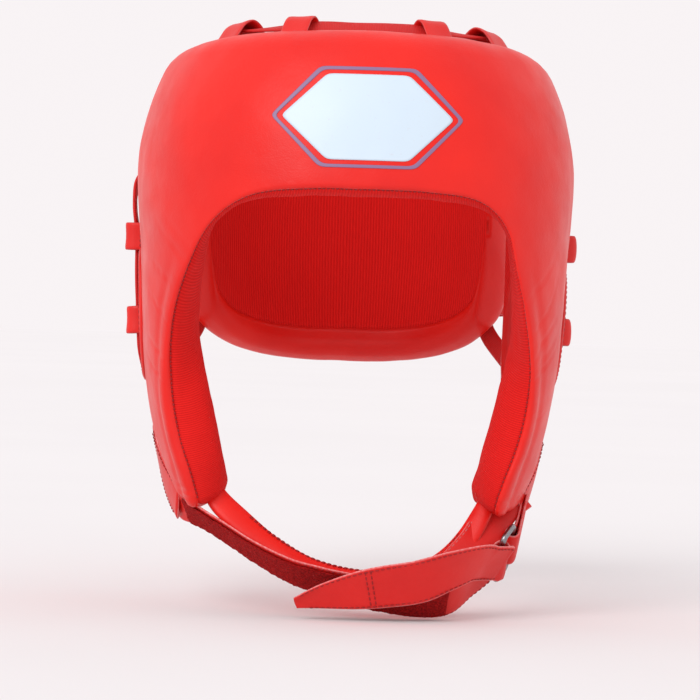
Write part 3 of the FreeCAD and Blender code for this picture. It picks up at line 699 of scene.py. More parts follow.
def front_rows():
    """All rows of the front band from the wearer's right cheek tip to the left one.

    As worn, the seam sits a little further out on the wearer's right cheek than on the left.
    """
    rows = []
    for side, drift in ((-1.0, SEAM_DRIFT_RIGHT), (1.0, SEAM_DRIFT_LEFT)):
        half = []
        for index, (a, b, c, d, e, f) in enumerate(FRONT_HALF):
            share = float(window(np.array(float(index)), 5.0, 9.5, 3.0))
            half.append((side * (a + drift * share), b, side * c, d, side * e, f))
        rows += half[:0:-1] if side < 0.0 else half
    return rows


def rear_rows():
    """All rows of the rear pad from one side edge round the back to the other."""
    left = [(a, low, a, low, a, high) for a, low, high in REAR_HALF[::-1]]
    right = [(360.0 - a, low, 360.0 - a, low, 360.0 - a, high) for a, low, high in REAR_HALF[1:]]
    return left + right


def window(value, low, high, soft):
    """1 between low and high, easing to 0 over the soft distance outside them."""
    return ease((value - low) / soft + 1.0) * ease((high - value) / soft + 1.0)


def shell_normals(grid):
    """Outward normals of a tube grid whose last column repeats its first."""
    normals = grid_normals(grid[:, :-1])
    normals = np.concatenate([normals, normals[:, :1]], axis=1)
    normals[0] = normals[1]
    normals[-1] = normals[-2]
    return normals


def creases(along, across, seed, thin=0.10):
    """Thin wandering creases: 1 on the crease line, falling to 0 beside it."""
    field = np.stack([along, across, np.full(along.shape, seed)], axis=-1)
    return bump(rough_field(field, 1.0, seed), thin)


def front_relief(band, grid, arcs):
    """Height in mm added to the front shell: seam groove, cheek roll, wrinkles, soft unevenness."""
    row = (band.where - FRONT_MIDDLE_ROW)[:, None]
    reach = np.abs(row)
    along = np.broadcast_to(band.along[:, None], arcs.shape)
    from_seam = np.minimum(arcs, arcs[:, -1:] - arcs)
    outside = window(arcs, 0.0, 70.0, 10.0)
    groove = -1.1 * bump(from_seam, 1.2)
    roll = window(reach, 5.2, 10.3, 1.4) * outside
    drift = 1.6 * rough_field(np.stack([along, along * 0.0, along * 0.0], axis=-1), 30.0, 2.0)
    crease = roll * (0.6 * bump(arcs - 5.0, 3.4) - 0.62 * bump(arcs - 10.5 - drift, 2.6))
    gathers = bump(creases(along / 2.6, arcs / 9.0, 5.0, 0.3) - 1.0, 0.7)
    pucker = -0.16 * gathers * bump(from_seam - 2.5, 2.4)
    temple = window(reach, 4.2, 7.0, 0.8) * bump(arcs - 15.0, 13.0)
    wrinkles = -0.42 * creases(along / 17.0, arcs / 48.0 + along / 60.0, 7.0, 0.07) * temple
    tips = -0.4 * creases(along / 7.0, arcs / 20.0, 3.0, 0.14) * window(reach, 9.8, 11.2, 0.6)
    tips = tips * bump(arcs - 8.0, 10.0)
    soft = 0.6 * rough_field(grid, 36.0, 3.0) + 0.18 * rough_field(grid, 12.0, 9.0)
    inside = 1.0 - window(arcs, 0.0, 95.0, 12.0)
    lining = arcs > arcs[:, -1:] - 26.0
    quilt = 0.35 * rough_field(grid, 9.0, 14.0) * lining
    relief = groove + crease + pucker + wrinkles + tips + quilt + soft * (1.0 - 0.6 * inside)
    relief[0], relief[-1] = relief[1].mean(), relief[-2].mean()
    return relief


def rear_relief(_band, grid, _arcs):
    """Height in mm added to the rear pad: soft unevenness only."""
    return 0.6 * rough_field(grid, 30.0, 21.0) + 0.2 * rough_field(grid, 10.0, 5.0)


def tube_attribute(band, arcs):
    """Lining measure for the knit: metres along the band, metres across it."""
    info = np.zeros((*arcs.shape, 3))
    info[..., 0] = band.along[:, None] * MM
    info[..., 1] = arcs * MM
    return info


def oval(grow):
    """Ear hole outline points (y, z) grown by some mm."""
    turn = np.linspace(0.0, 2.0 * math.pi, EAR_SAMPLES + 1)[:-1]
    y = EAR_Y + (0.5 * EAR_LENGTH + grow) * np.cos(turn)
    z = EAR_Z + (0.5 * EAR_HEIGHT + grow) * np.sin(turn)
    return y, z


def cut_ears(piece):
    """Cut the two oval ear holes through a piece."""
    for side in (-1.0, 1.0):
        y, z = oval(0.0)
        near = np.stack([np.full(EAR_SAMPLES, side * EAR_CUT_FROM), y, z], axis=-1)
        far = near + np.array([side * EAR_CUT_THROUGH, 0.0, 0.0])
        faces = grid_quads(2, EAR_SAMPLES, wrap_columns=True)
        faces += [tuple(range(EAR_SAMPLES)), tuple(range(EAR_SAMPLES, 2 * EAR_SAMPLES))]
        cutter = make_piece("ear_cutter", np.concatenate([near, far]), faces, piece.data.materials[0])
        face_outward(cutter)
        cut = piece.modifiers.new("ear", "BOOLEAN")
        cut.operation = "DIFFERENCE"
        cut.solver = "EXACT"
        cut.object = cutter
        evaluated = piece.evaluated_get(bpy.context.evaluated_depsgraph_get())
        shaped = bpy.data.meshes.new_from_object(evaluated)
        piece.modifiers.clear()
        piece.data = shaped
        bpy.data.objects.remove(cutter)


def surface_tree(*pieces):
    """Ray target made of several pieces together."""
    verts, faces = [], []
    for piece in pieces:
        start = len(verts)
        verts += [v.co.copy() for v in piece.data.vertices]
        faces += [tuple(i + start for i in polygon.vertices) for polygon in piece.data.polygons]
    return BVHTree.FromPolygons(verts, faces)


def hit(tree, origin_mm, direction):
    """Where a ray from a point in mm first meets the tree, in mm; None when it misses."""
    found = tree.ray_cast(Vector(np.asarray(origin_mm) * MM), Vector(direction))[0]
    return None if found is None else np.array(found) / MM


def cover_and_lining(place, band, relief_of, covered, lined):
    """Leather over some columns of the profile and knit over the others, as two closed skins."""
    outer, arcs = band.tube(0.0)
    inner, _ = band.tube(SKIN)
    normals = shell_normals(outer)
    raised = normals * (relief_of(band, outer, arcs)[..., None] * band.shrink[:, None, None])
    outer, inner = outer + raised, inner + raised
    info = tube_attribute(band, arcs)
    pieces = []
    for kind, columns, material in (("leather", covered, SHELL), ("knit", lined, KNIT)):
        piece = closed_sheet(f"{place}_{kind}", outer[:, columns], inner[:, columns], material,
                             {"weave": info[:, columns]})
        face_outward(piece, merge=True)
        pieces.append(piece)
    return pieces, outer[:, 0], normals[:, 0]


def build_front():
    """Front shell: leather over the outside and rim, knit lining inside; also its seam line."""
    band = Band(front_rows(), (2.4, 13.0, 6.0, 6.5), 13.0, (0.5, 0.2), 1.5, (90, 9, 14, 56), puff=3.2)
    edge = band.split()
    return cover_and_lining("front", band, front_relief, slice(None, edge + 1), slice(edge, None))


def front_foams():
    """Forehead foam and two cheek foams, cut from the same band and set inside the skins."""
    rows = front_rows()
    spans = {
        "foam_forehead": (6, 16, ("forehead_foam",)),
        "foam_cheek_right": (0, 5, ("cheek_foam_right",)),
        "foam_cheek_left": (17, 22, ("cheek_foam_left",)),
    }
    made = []
    for name, (first, last, nodes) in spans.items():
        part = Band(rows[first:last + 1], (7.0, 12.0, 7.0, 8.0), 9.0, (0.5, 0.5), 3.0,
                    (34, 6, 5, 28), margin=FOAM_MARGIN)
        made.append(foam_piece(name, part, nodes))
    return made


def foam_piece(name, band, nodes):
    """Foam core of one band, lying inside its skins."""
    grid = band.tube(SKIN + FOAM_GAP)[0][:, :-1]
    rows, columns, _ = grid.shape
    piece = make_piece(name, grid, grid_quads(rows, columns, wrap_columns=True), FOAM)
    face_outward(piece, merge=True)
    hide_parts(*nodes)
    return piece


def build_rear():
    """Rear pad: leather wrapped round all its edges, knit lining on the head side, and foam."""
    band = Band(rear_rows(), (8.0, 8.5, 6.5, 6.5), 9.0, (0.5, 0.06), 1.6, (66, 9, 7, 50))
    edge = band.split()
    lip = edge + REAR_INNER_COLUMNS
    covered = list(range(lip, band.columns() - 1)) + list(range(edge + 1))
    lined = list(range(edge, lip + 1))
    pieces, _, _ = cover_and_lining("rear", band, rear_relief, covered, lined)
    part = Band(rear_rows(), (8.0, 8.0, 7.0, 7.0), 9.0, (0.5, 0.5), 3.0,
                (30, 6, 5, 24), margin=FOAM_MARGIN)
    return (*pieces, foam_piece("foam_rear", part, ("rear_foam",)))


def side_word(side):
    """The wearer's left is +X."""
    return "left" if side > 0.0 else "right"


def dress(piece, body, nodes=()):
    """Tie a finished piece to its body and hide the CAD nodes it stands in for."""
    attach(piece, body)
    if nodes:
        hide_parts(*nodes)
    return piece


# ---- ear rims and badge ---------------------------------------------------------------------
# stitch sizes: pitch, length, thread radius
EAR_STITCH = (2.6, 1.8, 0.24)
EAR_BINDING_THICK = 0.9
# rays start this far out from the middle plane, outside and inside the pad
EAR_RAY_OUTSIDE, EAR_RAY_INSIDE = 130.0, 20.0
EAR_RAY_NEAR, EAR_RAY_FAR = 2.0, 4.2
# mm out from the hole's edge and mm above the leather, from the flange into the hole
EAR_SECTION = ((4.2, 0.0), (4.0, 0.9), (2.6, 1.5), (0.8, 1.5), (-0.6, 0.7), (-1.3, -0.8))


def build_ear_rim(side, outer_tree, inner_tree):
    """Turned leather binding of one ear hole: outer flange, sleeve through the pad, inner flange."""
    rings = []
    for tree, origin, direction in (
            (outer_tree, EAR_RAY_OUTSIDE, -1.0), (inner_tree, EAR_RAY_INSIDE, 1.0)):
        heights = []
        for grow in (EAR_RAY_NEAR, EAR_RAY_FAR):
            aim = (side * direction, 0.0, 0.0)
            found = [hit(tree, (side * origin, y, z), aim) for y, z in zip(*oval(grow))]
            level = np.median([abs(p[0]) for p in found if p is not None])
            heights.append(np.array([level if p is None else abs(p[0]) for p in found]))
        for grow, lift in EAR_SECTION if direction < 0.0 else EAR_SECTION[::-1]:
            share = (grow - EAR_RAY_NEAR) / (EAR_RAY_FAR - EAR_RAY_NEAR)
            level = heights[0] + (heights[1] - heights[0]) * share
            y, z = oval(grow)
            rings.append(np.stack([side * (level - direction * (lift - 0.15)), y, z], axis=-1))
    grid = np.stack(rings)
    rows, columns, _ = grid.shape
    centre = np.array([0.0, EAR_Y, EAR_Z])
    back = grid + unit((grid - centre) * np.array([0.0, 1.0, 1.0])) * EAR_BINDING_THICK
    faces = grid_quads(rows, columns, wrap_columns=True)
    faces += grid_quads(rows, columns, start=rows * columns, flip=True, wrap_columns=True)
    for j in range(columns):
        k = (j + 1) % columns
        for i in (0, rows - 1):
            a, b = i * columns + j, i * columns + k
            faces.append((a, b, b + rows * columns, a + rows * columns))
    points = np.concatenate([grid.reshape(-1, 3), back.reshape(-1, 3)])
    word = side_word(side)
    piece = make_piece("ear_binding_" + word, points, faces, LOOPS)
    face_outward(piece)
    outward = np.tile([side, 0.0, 0.0], (columns, 1))
    seam = stitches("ear_stitches_" + word, grid[2] + outward * 0.02, outward, *EAR_STITCH, THREAD,
                    closed=True)
    dress(seam, FRONT_BODY)
    dress(piece, FRONT_BODY, ("ear_rim_" + word,))


BADGE_Z, BADGE_LENGTH, BADGE_HEIGHT, BADGE_POINT = 33.0, 76.0, 38.0, 20.0


def hexagon(grow, count=26):
    """Outline points (x, z) of the badge hexagon, grown outward, with softened corners."""
    half, tall = 0.5 * BADGE_LENGTH, 0.5 * BADGE_HEIGHT
    flat = half - BADGE_POINT
    corners = np.array([(half, 0.0), (flat, tall), (-flat, tall),
                        (-half, 0.0), (-flat, -tall), (flat, -tall)])
    size = np.linalg.norm(corners, axis=1, keepdims=True)
    corners = corners * (1.0 + grow * 1.13 / size)
    points = []
    for i in range(6):
        share = np.linspace(0.0, 1.0, count + 1)[:-1, None]
        points.append(corners[i] * (1.0 - share) + corners[(i + 1) % 6] * share)
    points = np.concatenate(points)
    for _ in range(3):
        points = 0.25 * np.roll(points, 1, axis=0) + 0.5 * points + 0.25 * np.roll(points, -1, axis=0)
    return points


def laid_plate(name, rings, tree, thick, material):
    """Thin film between outline rings (x, z), laid on the leather it is printed over."""
    top, low = [], []
    for ring in rings:
        found = np.array([hit(tree, (x, -200.0, z + BADGE_Z), (0.0, 1.0, 0.0)) for x, z in ring])
        out = form_normal(np.degrees(np.arctan2(found[:, 0], -found[:, 1])), found[:, 2])
        top.append(found + out * thick)
        low.append(found - out * 0.4)
    grid = np.stack(top + low[::-1])
    rows, columns, _ = grid.shape
    faces = grid_quads(rows, columns, wrap_rows=True, wrap_columns=True)
    piece = make_piece(name, grid, faces, material)
    face_outward(piece, merge=True)
    return piece


def build_badge(tree):
    """Pale hexagon on the forehead and the thin line round it."""
    disc = [hexagon(0.0) * share for share in np.linspace(0.0, 0.96, 22)] + [hexagon(0.0)]
    band = [hexagon(grow) for grow in (2.4, 2.8, 3.3, 3.8, 4.1)]
    for name, rings, thick, film in (("badge_field", disc, 0.35, BADGE_WHITE),
                                     ("badge_outline", band, 0.3, BADGE_LINE)):
        piece = laid_plate(name, rings, tree, thick, film)
        dress(piece, FRONT_BODY, ("forehead_badge",))


# ---- loops and laces ------------------------------------------------------------------------
LOOP_THICK, LOOP_HEIGHT, LOOP_WIDTH = 1.6, 8.5, 13.0
CROWN_LOOP_HEIGHT = 14.0
CROWN_LOOP_FEET = (17.0, 4.5)
CROWN_LOOP_WIDTHS = {"inner": 13.0, "outer": 16.0}
LACE_WIDTH, LACE_THICK = 9.5, 1.6
CROWN_LOOPS = (28.0, 52.0)
CROWN_LACE_OUT, CROWN_LACE_RISE, CROWN_LACE_STEP = 10.6, 0.74, 6.5
REAR_LOOP_SHIFT = 8.0
SIDE_LOOPS = (108.0, (-20.0, -58.0))
REAR_SIDE_LOOPS = (143.0, (-14.0, -44.0))
SIDE_LACE = (
    (108.0, -6.0), (108.0, -20.0), (108.0, -39.0), (108.0, -58.0), (108.0, -71.0), (114.0, -80.0),
    (125.5, -78.0), (137.0, -66.0), (143.0, -55.0), (143.0, -44.0), (143.0, -29.0), (143.0, -14.0),
    (143.0, -1.0), (137.0, 7.0), (125.5, 8.0), (114.0, 4.0),
)
SIDE_LOOP_SPAN = 15.5
FOOT_STITCH = (2.2, 1.6, 0.3)
# crown lace between the loops: left front to right rear, then left rear to right front
CROWN_BACK = (
    (58.5, -30.0, 71.0), (30.0, -10.0, 74.5), (0.0, 6.0, 74.8), (-30.0, 24.0, 70.5), (-54.0, 46.0, 61.0),
)
CROWN_FORTH = (
    (54.0, 46.0, 61.0), (30.0, 24.0, 73.0), (0.0, 6.0, 78.0), (-30.0, -10.0, 76.5), (-58.5, -30.0, 71.0),
)


def rim_angle(x, z, rear):
    """Angle at which the head form is x wide at a height, found by halving."""
    low, high = (90.0, 180.0) if rear else (0.0, 90.0)
    for _ in range(40):
        middle = 0.5 * (low + high)
        wide = form_base(np.array(middle), np.array(z))[0]
        if (wide < x) != rear:
            low = middle
        else:
            high = middle
    return 0.5 * (low + high)


def crown_seat(x, rear):
    """Frame of a rim loop: base point, direction out over the pad, direction up, lace direction."""
    z = (47.0 if rear else 60.0) - 0.0008 * x * x
    angle = np.array(math.copysign(rim_angle(abs(x), z, rear), x))
    out = form_normal(angle, np.array(z))
    upward = unit(form_point(angle, z + 1.0, 0.0) - form_point(angle, z - 1.0, 0.0))
    base = form_point(angle, z, 0.0) + upward * 0.8
    return base, out, upward, np.cross(upward, out)


def arch(foot_a, foot_b, up, axis, width, sink, height=LOOP_HEIGHT):
    """Leather loop arching from one stitched foot to the other."""
    inward = unit(foot_b - foot_a)
    half = ((-2.2, -sink), (0.2, -0.1), (0.3, 0.62 * height), (3.2, 0.97 * height))
    path = [foot_a + inward * reach + up * rise for reach, rise in half]
    path += [foot_b - inward * reach + up * rise for reach, rise in half[::-1]]
    return Strap(path, [axis] * len(path), width, step=0.7)


def loop_name(kind, place, side):
    """CAD node name of one lace loop."""
    return f"{kind}_{place}_{side_word(side)}"


def build_crown_loops():
    """Tall loops along the upper rims of the front shell and the rear pad."""
    for rear, body, kind in ((False, FRONT_BODY, "front_crown_loop"), (True, REAR_BODY, "rear_crown_loop")):
        shift = REAR_LOOP_SHIFT if rear else 0.0
        for place, x in zip(("inner", "outer"), CROWN_LOOPS):
            for side in (-1.0, 1.0):
                base, out, upward, axis = crown_seat(side * (x - shift), rear)
                far, near = (base + out * reach for reach in CROWN_LOOP_FEET)
                strap = arch(far, near, upward, axis, CROWN_LOOP_WIDTHS[place], 3.4, CROWN_LOOP_HEIGHT)
                node = loop_name(kind, place, side)
                piece = strap.mesh("leather_" + node, LOOP_THICK, LOOPS, crown=0.5, ripple=0.3, seed=x)
                dress(piece, body, (node,))


def build_side_loops():
    """Low loops on both sides, each sewn down along its two feet."""
    half = math.degrees(0.5 * SIDE_LOOP_SPAN / FORM_REAR)
    for (degrees, heights), body, kind in (
            (SIDE_LOOPS, FRONT_BODY, "side_loop"), (REAR_SIDE_LOOPS, REAR_BODY, "rear_loop")):
        for place, z in zip(("upper", "lower"), heights):
            for side in (-1.0, 1.0):
                depth = float(pad_depth(np.array(degrees), np.array(z))) + 0.5
                feet = [form_point(side * (degrees + turn), z, depth) for turn in (-half, half)]
                out = form_normal(np.array(side * degrees), np.array(z))
                strap = arch(feet[0], feet[1], out, np.array([0.0, 0.0, 1.0]), LOOP_WIDTH, 1.0)
                node = loop_name(kind, place, side)
                piece = strap.mesh("leather_" + node, LOOP_THICK, LOOPS, crown=0.6, ripple=0.3, seed=z)
                dress(piece, body, (node,))
                for foot, step in ((feet[0], -1.0), (feet[1], 1.0)):
                    away = unit(feet[1] - feet[0]) * step
                    row = [foot + away * 1.2 + out * 0.75 + np.array([0.0, 0.0, h])
                           for h in np.linspace(-5.4, 5.4, 12)]
                    seam = stitches(f"stitch_{node}_{'front' if step < 0.0 else 'back'}", row,
                                    [out] * len(row), *FOOT_STITCH, THREAD)
                    dress(seam, body)


def flat_strap(points, normals, widths, closed=True, step=1.2):
    """Strap lying with its face along the given normals."""
    points, normals = np.asarray(points, float), np.asarray(normals, float)
    if closed:
        ahead = np.roll(points, -1, axis=0) - np.roll(points, 1, axis=0)
    else:
        ahead = np.gradient(points, axis=0)
    return Strap(points, unit(np.cross(normals, ahead)), widths, step=step, closed=closed)


def lay_lace(name, strap, ripple, seed):
    """One lace as a mesh, with its CAD node hidden and its placement baked into its points."""
    piece = strap.mesh("lace_" + name, LACE_THICK, LACE, crown=0.25, ripple=ripple, seed=seed)
    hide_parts(name)
    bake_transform(piece)


def build_laces():
    """Two side laces and the crown lace, each a closed flat loop drawn through its loops."""
    for side in (-1.0, 1.0):
        angle = np.array([side * a for a, _ in SIDE_LACE])
        height = np.array([z for _, z in SIDE_LACE])
        lift = 0.3 + 0.5 * (LOOP_HEIGHT - LACE_THICK)
        points = form_point(angle, height, pad_depth(angle, height) + lift)
        strap = flat_strap(points, form_normal(angle, height), LACE_WIDTH)
        lay_lace("side_lace_" + side_word(side), strap, 0.35, side)
    inner, outer = CROWN_LOOPS
    points = []
    for rear, link in ((False, CROWN_BACK), (True, CROWN_FORTH)):
        shift = REAR_LOOP_SHIFT if rear else 0.0
        for x in (-outer + shift, -inner + shift, inner - shift, outer - shift):
            points += through_crown_loop(x, rear)
        points += link
    points = np.array(points)
    lean = np.where(points[:, 1] < -40.0, -0.75, -0.0125 * points[:, 1])
    normals = np.stack([-0.0125 * points[:, 0], lean, np.ones(len(points))], axis=-1)
    strap = flat_strap(points, unit(normals), LACE_WIDTH)
    lay_lace("crown_lace", strap, 0.3, 4.0)


def through_crown_loop(x, rear):
    """Two lace points, one on each side of a crown loop."""
    base, out, upward, axis = crown_seat(x, rear)
    middle = base + out * CROWN_LACE_OUT + upward * (CROWN_LACE_RISE * CROWN_LOOP_HEIGHT)
    ahead = math.copysign(CROWN_LACE_STEP, axis[0])
    return [middle - axis * ahead, middle + axis * ahead]


# ---- chin strap -----------------------------------------------------------------------------
STRAP_THICK, STRAP_WIDTH, PATCH_THICK = 1.8, 23.0, 1.0
HINGE = np.array([79.5, -36.0, -152.0])
RING_BAR = np.array([69.0, -51.0, -164.5])
RING_REACH, RING_HALF, RING_WIRE_RADIUS = 11.0, 13.9, 1.4
RING_BEND = 2.6
FOLD_OFFSET, FOLD_WIDTH = 2.75, 19.5
HANGER_WIDTH = 19.0
HANGER_SEWN = np.array([82.0, -30.0, -139.0])
STRAP_STITCH = (2.6, 1.9, 0.28)
TAB_STITCH = (2.4, 1.8, 0.28)
LOOP_PATCH_TRIM, HOOK_PATCH_TRIM = 3.2, 5.0
# centre and width axis of the strap under the chin: its end sewn under the right cheek tab,
# then from that anchor to the ring
STRAP_START = (
    ((-82.0, -22.0, -131.0), (0.2, -0.88, 0.33)),
    ((-79.0, -31.0, -139.5), (0.15, -0.90, 0.34)),
)
STRAP_RUN = (
    ((-73.5, -39.5, -145.0), (0.10, -0.92, 0.36)),
    ((-60.0, -47.5, -152.5), (0.0, -0.92, 0.38)),
    ((-43.0, -55.5, -162.5), (0.0, -0.90, 0.43)),
    ((-22.0, -62.0, -172.0), (0.0, -0.84, 0.54)),
    ((5.0, -67.0, -178.5), (0.0, -0.74, 0.67)),
    ((28.0, -67.0, -181.5), (0.0, -0.66, 0.75)),
    ((45.0, -63.0, -181.0), (0.0, -0.66, 0.75)),
    ((56.0, -57.5, -174.0), (0.0, -0.74, 0.67)),
)
# centre, width axis, width
TONGUE_RUN = (
    ((56.5, -70.0, -164.5), (0.0, -0.62, 0.78), 20.5),
    ((44.0, -78.2, -168.0), (0.0, -0.50, 0.87), 22.5),
    ((30.0, -80.5, -172.5), (0.0, -0.42, 0.91), 22.5),
    ((8.0, -80.0, -176.5), (0.0, -0.40, 0.92), 20.5),
    ((-10.0, -77.5, -180.0), (0.0, -0.43, 0.90), 14.0),
    ((-24.5, -74.5, -184.0), (0.0, -0.45, 0.89), 5.5),
)
SLING_RUN = (
    ((-66.0, -43.0, -128.0), (-0.30, -0.45, -0.70), 6.0),
    ((-60.5, -48.0, -140.0), (-0.45, -0.45, -0.70), 11.0),
    ((-49.4, -52.2, -150.0), (-0.40, -0.55, -0.70), 12.0),
    ((-35.3, -55.3, -159.5), (-0.25, -0.62, -0.72), 9.5),
    ((-17.7, -58.0, -168.8), (-0.10, -0.68, -0.72), 9.0),
    ((4.0, -59.2, -173.8), (0.0, -0.72, -0.69), 10.0),
    ((26.0, -60.0, -174.5), (0.10, -0.70, -0.70), 15.0),
    ((43.0, -55.5, -166.5), (0.25, -0.66, -0.70), 13.0),
    ((54.0, -50.5, -155.0), (0.42, -0.55, -0.70), 11.0),
    ((61.5, -46.0, -142.0), (0.42, -0.45, -0.70), 9.0),
    ((66.0, -42.0, -129.0), (0.30, -0.45, -0.70), 6.0),
)
FLAP_RUN = (
    ((79.5, -35.0, -136.0), (0.62, -0.30, -0.72), 14.0),
    ((72.9, -40.6, -141.3), (0.60, -0.25, -0.76), 13.0),
    ((63.7, -47.1, -149.7), (0.58, -0.20, -0.79), 17.0),
    ((55.6, -53.8, -157.5), (0.55, -0.18, -0.81), 14.0),
    ((45.0, -60.0, -166.5), (0.45, -0.20, -0.87), 11.0),
    ((36.0, -62.5, -171.5), (0.35, -0.30, -0.89), 5.0),
)
# centre, outward normal and width of the cheek tab, for the wearer's left; x is mirrored for the right
TAB_RUN = (
    ((90.2, -3.0, -113.5), (0.96, -0.03, -0.27), 17.0),
    ((88.6, -11.5, -122.5), (0.93, -0.14, -0.32), 22.0),
    ((85.6, -20.5, -131.5), (0.87, -0.30, -0.37), 22.5),
    ((82.4, -29.2, -137.6), (0.80, -0.46, -0.38), 21.5),
    ((78.8, -37.2, -143.2), (0.71, -0.59, -0.38), 18.5),
)


def ring_frame():
    """Direction from the strap bar to the loop bar, bar direction, direction out of the ring."""
    reach = unit(HINGE - RING_BAR)
    along = np.array(STRAP_RUN[-1][1])
    along = unit(along - reach * np.dot(along, reach))
    return reach, along, np.cross(reach, along)


def strap_from(rows, width=None, **settings):
    """Strap through rows of centre, width axis and, unless one width is given, width."""
    points = [row[0] for row in rows]
    across = [row[1] for row in rows]
    widths = [row[2] if width is None else width for row in rows]
    return Strap(points, across, widths, **settings)


def edge_stitches(name, strap, share, lift, body, side, first=4, last=4, material=THREAD):
    """Stitch row along a strap at a share of its half width; lift is signed, in mm."""
    line = strap.spot(share, np.full(len(strap.points), lift))[first:-last]
    seam = stitches(name, line, strap.out[first:-last] * side, *STRAP_STITCH, material)
    if body == CHIN_BODY:
        hang(seam)
    else:
        dress(seam, body)


def build_anchor(side):
    """Leather tab sewn on the cheek that carries the chin strap."""
    word = side_word(side)
    mirror = np.array([side, 1.0, 1.0])
    points, normals, widths = (np.array(column) for column in zip(*TAB_RUN))
    points, normals = points * mirror, normals * mirror
    strap = flat_strap(points, unit(normals), widths, closed=False, step=0.9)
    piece = strap.mesh("tab_" + word, STRAP_THICK, STRAP, cup=0.5, ripple=0.35, seed=side * 3.0, cells=14)
    dress(piece, FRONT_BODY, ("chin_anchor_" + word,))
    face = np.sign(np.sum(strap.out[5] * normals[1]))
    for share, tag in ((-0.84, "a"), (0.84, "b")):
        edge_stitches(f"tab_stitches_{tag}_{word}", strap, share, face * 0.72 - 0.38, FRONT_BODY, face)
    middle = strap.points[6]
    row = [middle + strap.side[6] * h + strap.out[6] * (face * 0.85) for h in np.linspace(-8.5, 8.5, 16)]
    seam = stitches(f"tab_stitches_c_{word}", row, [strap.out[6] * face] * 16, *TAB_STITCH, THREAD)
    dress(seam, FRONT_BODY)


def build_strap():
    """Strap under the chin and its loop-pile patch."""
    reach, along, out = ring_frame()
    end = RING_BAR - out * FOLD_OFFSET - reach * 4.6
    rows = STRAP_START + STRAP_RUN + ((end - reach * 3.4, along), (end, along))
    strap = strap_from(rows, STRAP_WIDTH, step=0.9)
    piece = strap.mesh("strap_under_chin", STRAP_THICK, STRAP, cup=-0.3, ripple=0.4, seed=2.0, cells=14)
    hang(piece, "chin_strap")
    for share, tag in ((-0.92, "front"), (0.92, "back")):
        edge_stitches(f"strap_stitches_{tag}", strap, share, 0.66, CHIN_BODY, 1.0, 36, 5)
    patch = strap.layer(strap.nearest(STRAP_RUN[0][0]), strap.nearest(STRAP_RUN[6][0]),
                        LOOP_PATCH_TRIM, 0.5 * (STRAP_THICK + PATCH_THICK) + 0.15)
    body = patch.mesh("loop_patch", PATCH_THICK + 0.2, LOOP_PILE, cup=-0.3, ripple=0.4, seed=2.0, cells=26)
    roughen(body, 0.42, 1.5, 12.0)
    hang(body, "chin_loop_patch")


def build_sling():
    """Soft sling that lies between the chin and the strap."""
    sling = strap_from(SLING_RUN, step=0.9)
    piece = sling.mesh("chin_cradle", STRAP_THICK + 1.0, SLING, crown=-0.9, ripple=0.45, seed=6.0, cells=16)
    hang(piece, "chin_sling")
    for share, lift, tag in ((-0.60, -1.95, "a"), (-0.76, -1.68, "b")):
        edge_stitches(f"cradle_stitches_{tag}", sling, share, lift, CHIN_BODY, -1.0, 34, 34)


def hang(piece, node=None):
    """Chin piece whose upper ends are sewn to the cheeks: its CAD node is hidden and its placement baked
    into its points.
    """
    if node:
        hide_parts(node)
    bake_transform(piece)


def roughen(piece, height, scale, seed):
    """Push the points of a fuzzy patch in and out a little so that its pile has real relief."""
    mesh = piece.data
    for vertex, normal in zip(mesh.vertices, [v.normal.copy() for v in mesh.vertices]):
        place = vertex.co / MM / scale + Vector((seed, seed, seed))
        vertex.co += normal * (height * MM * noise.noise(place))


def build_tongue():
    """The strap's free end: folded round the ring bar, back over the front to a blunt tip."""
    reach, along, out = ring_frame()
    slant = 0.707 * FOLD_OFFSET
    turn = ((-FOLD_OFFSET, -1.4), (-FOLD_OFFSET, 0.0), (-slant, slant),
            (0.0, FOLD_OFFSET), (slant, slant), (FOLD_OFFSET, 0.0))
    fold = [RING_BAR + out * away + reach * ahead for away, ahead in turn]
    leave, arrive = fold[-1], np.array(TONGUE_RUN[0][0])
    fold += [leave + (arrive - leave) * share for share in (0.12, 0.30, 0.58)]
    rows = tuple((point, along, FOLD_WIDTH) for point in fold)
    strap = strap_from(rows + TONGUE_RUN, step=0.8)
    piece = strap.mesh("strap_tongue", STRAP_THICK, STRAP, cup=0.55, ripple=0.45, seed=8.0, cells=16)
    dress(piece, TONGUE_BODY, ("chin_tongue",))
    for share, tag in ((-0.86, "low"), (0.86, "top")):
        edge_stitches(f"tongue_stitches_{tag}", strap, share, -1.14, TONGUE_BODY, -1.0, 14, 5)
    index = int(np.argmin(np.abs(strap.points[20:, 0] - 10.0))) + 20
    half = 0.5 * strap.width[index]
    for step in (0, 3):
        i = index + step
        row = [strap.points[i] + strap.side[i] * half * s - strap.out[i] * (0.90 + 0.15 * s * s)
               for s in np.linspace(-0.82, 0.82, 16)]
        seam = stitches(f"tongue_cross_{step}", row, [-strap.out[i]] * 16, *STRAP_STITCH, THREAD)
        dress(seam, TONGUE_BODY)
    hook = strap.layer(strap.nearest(TONGUE_RUN[2][0]), strap.nearest(TONGUE_RUN[4][0]),
                       HOOK_PATCH_TRIM, 0.5 * (STRAP_THICK + PATCH_THICK) + 0.1)
    body = hook.mesh("hook_patch", PATCH_THICK, HOOK_PILE, cup=0.4, ripple=0.45, seed=8.0, cells=20)
    dress(body, TONGUE_BODY, ("chin_hook_patch",))


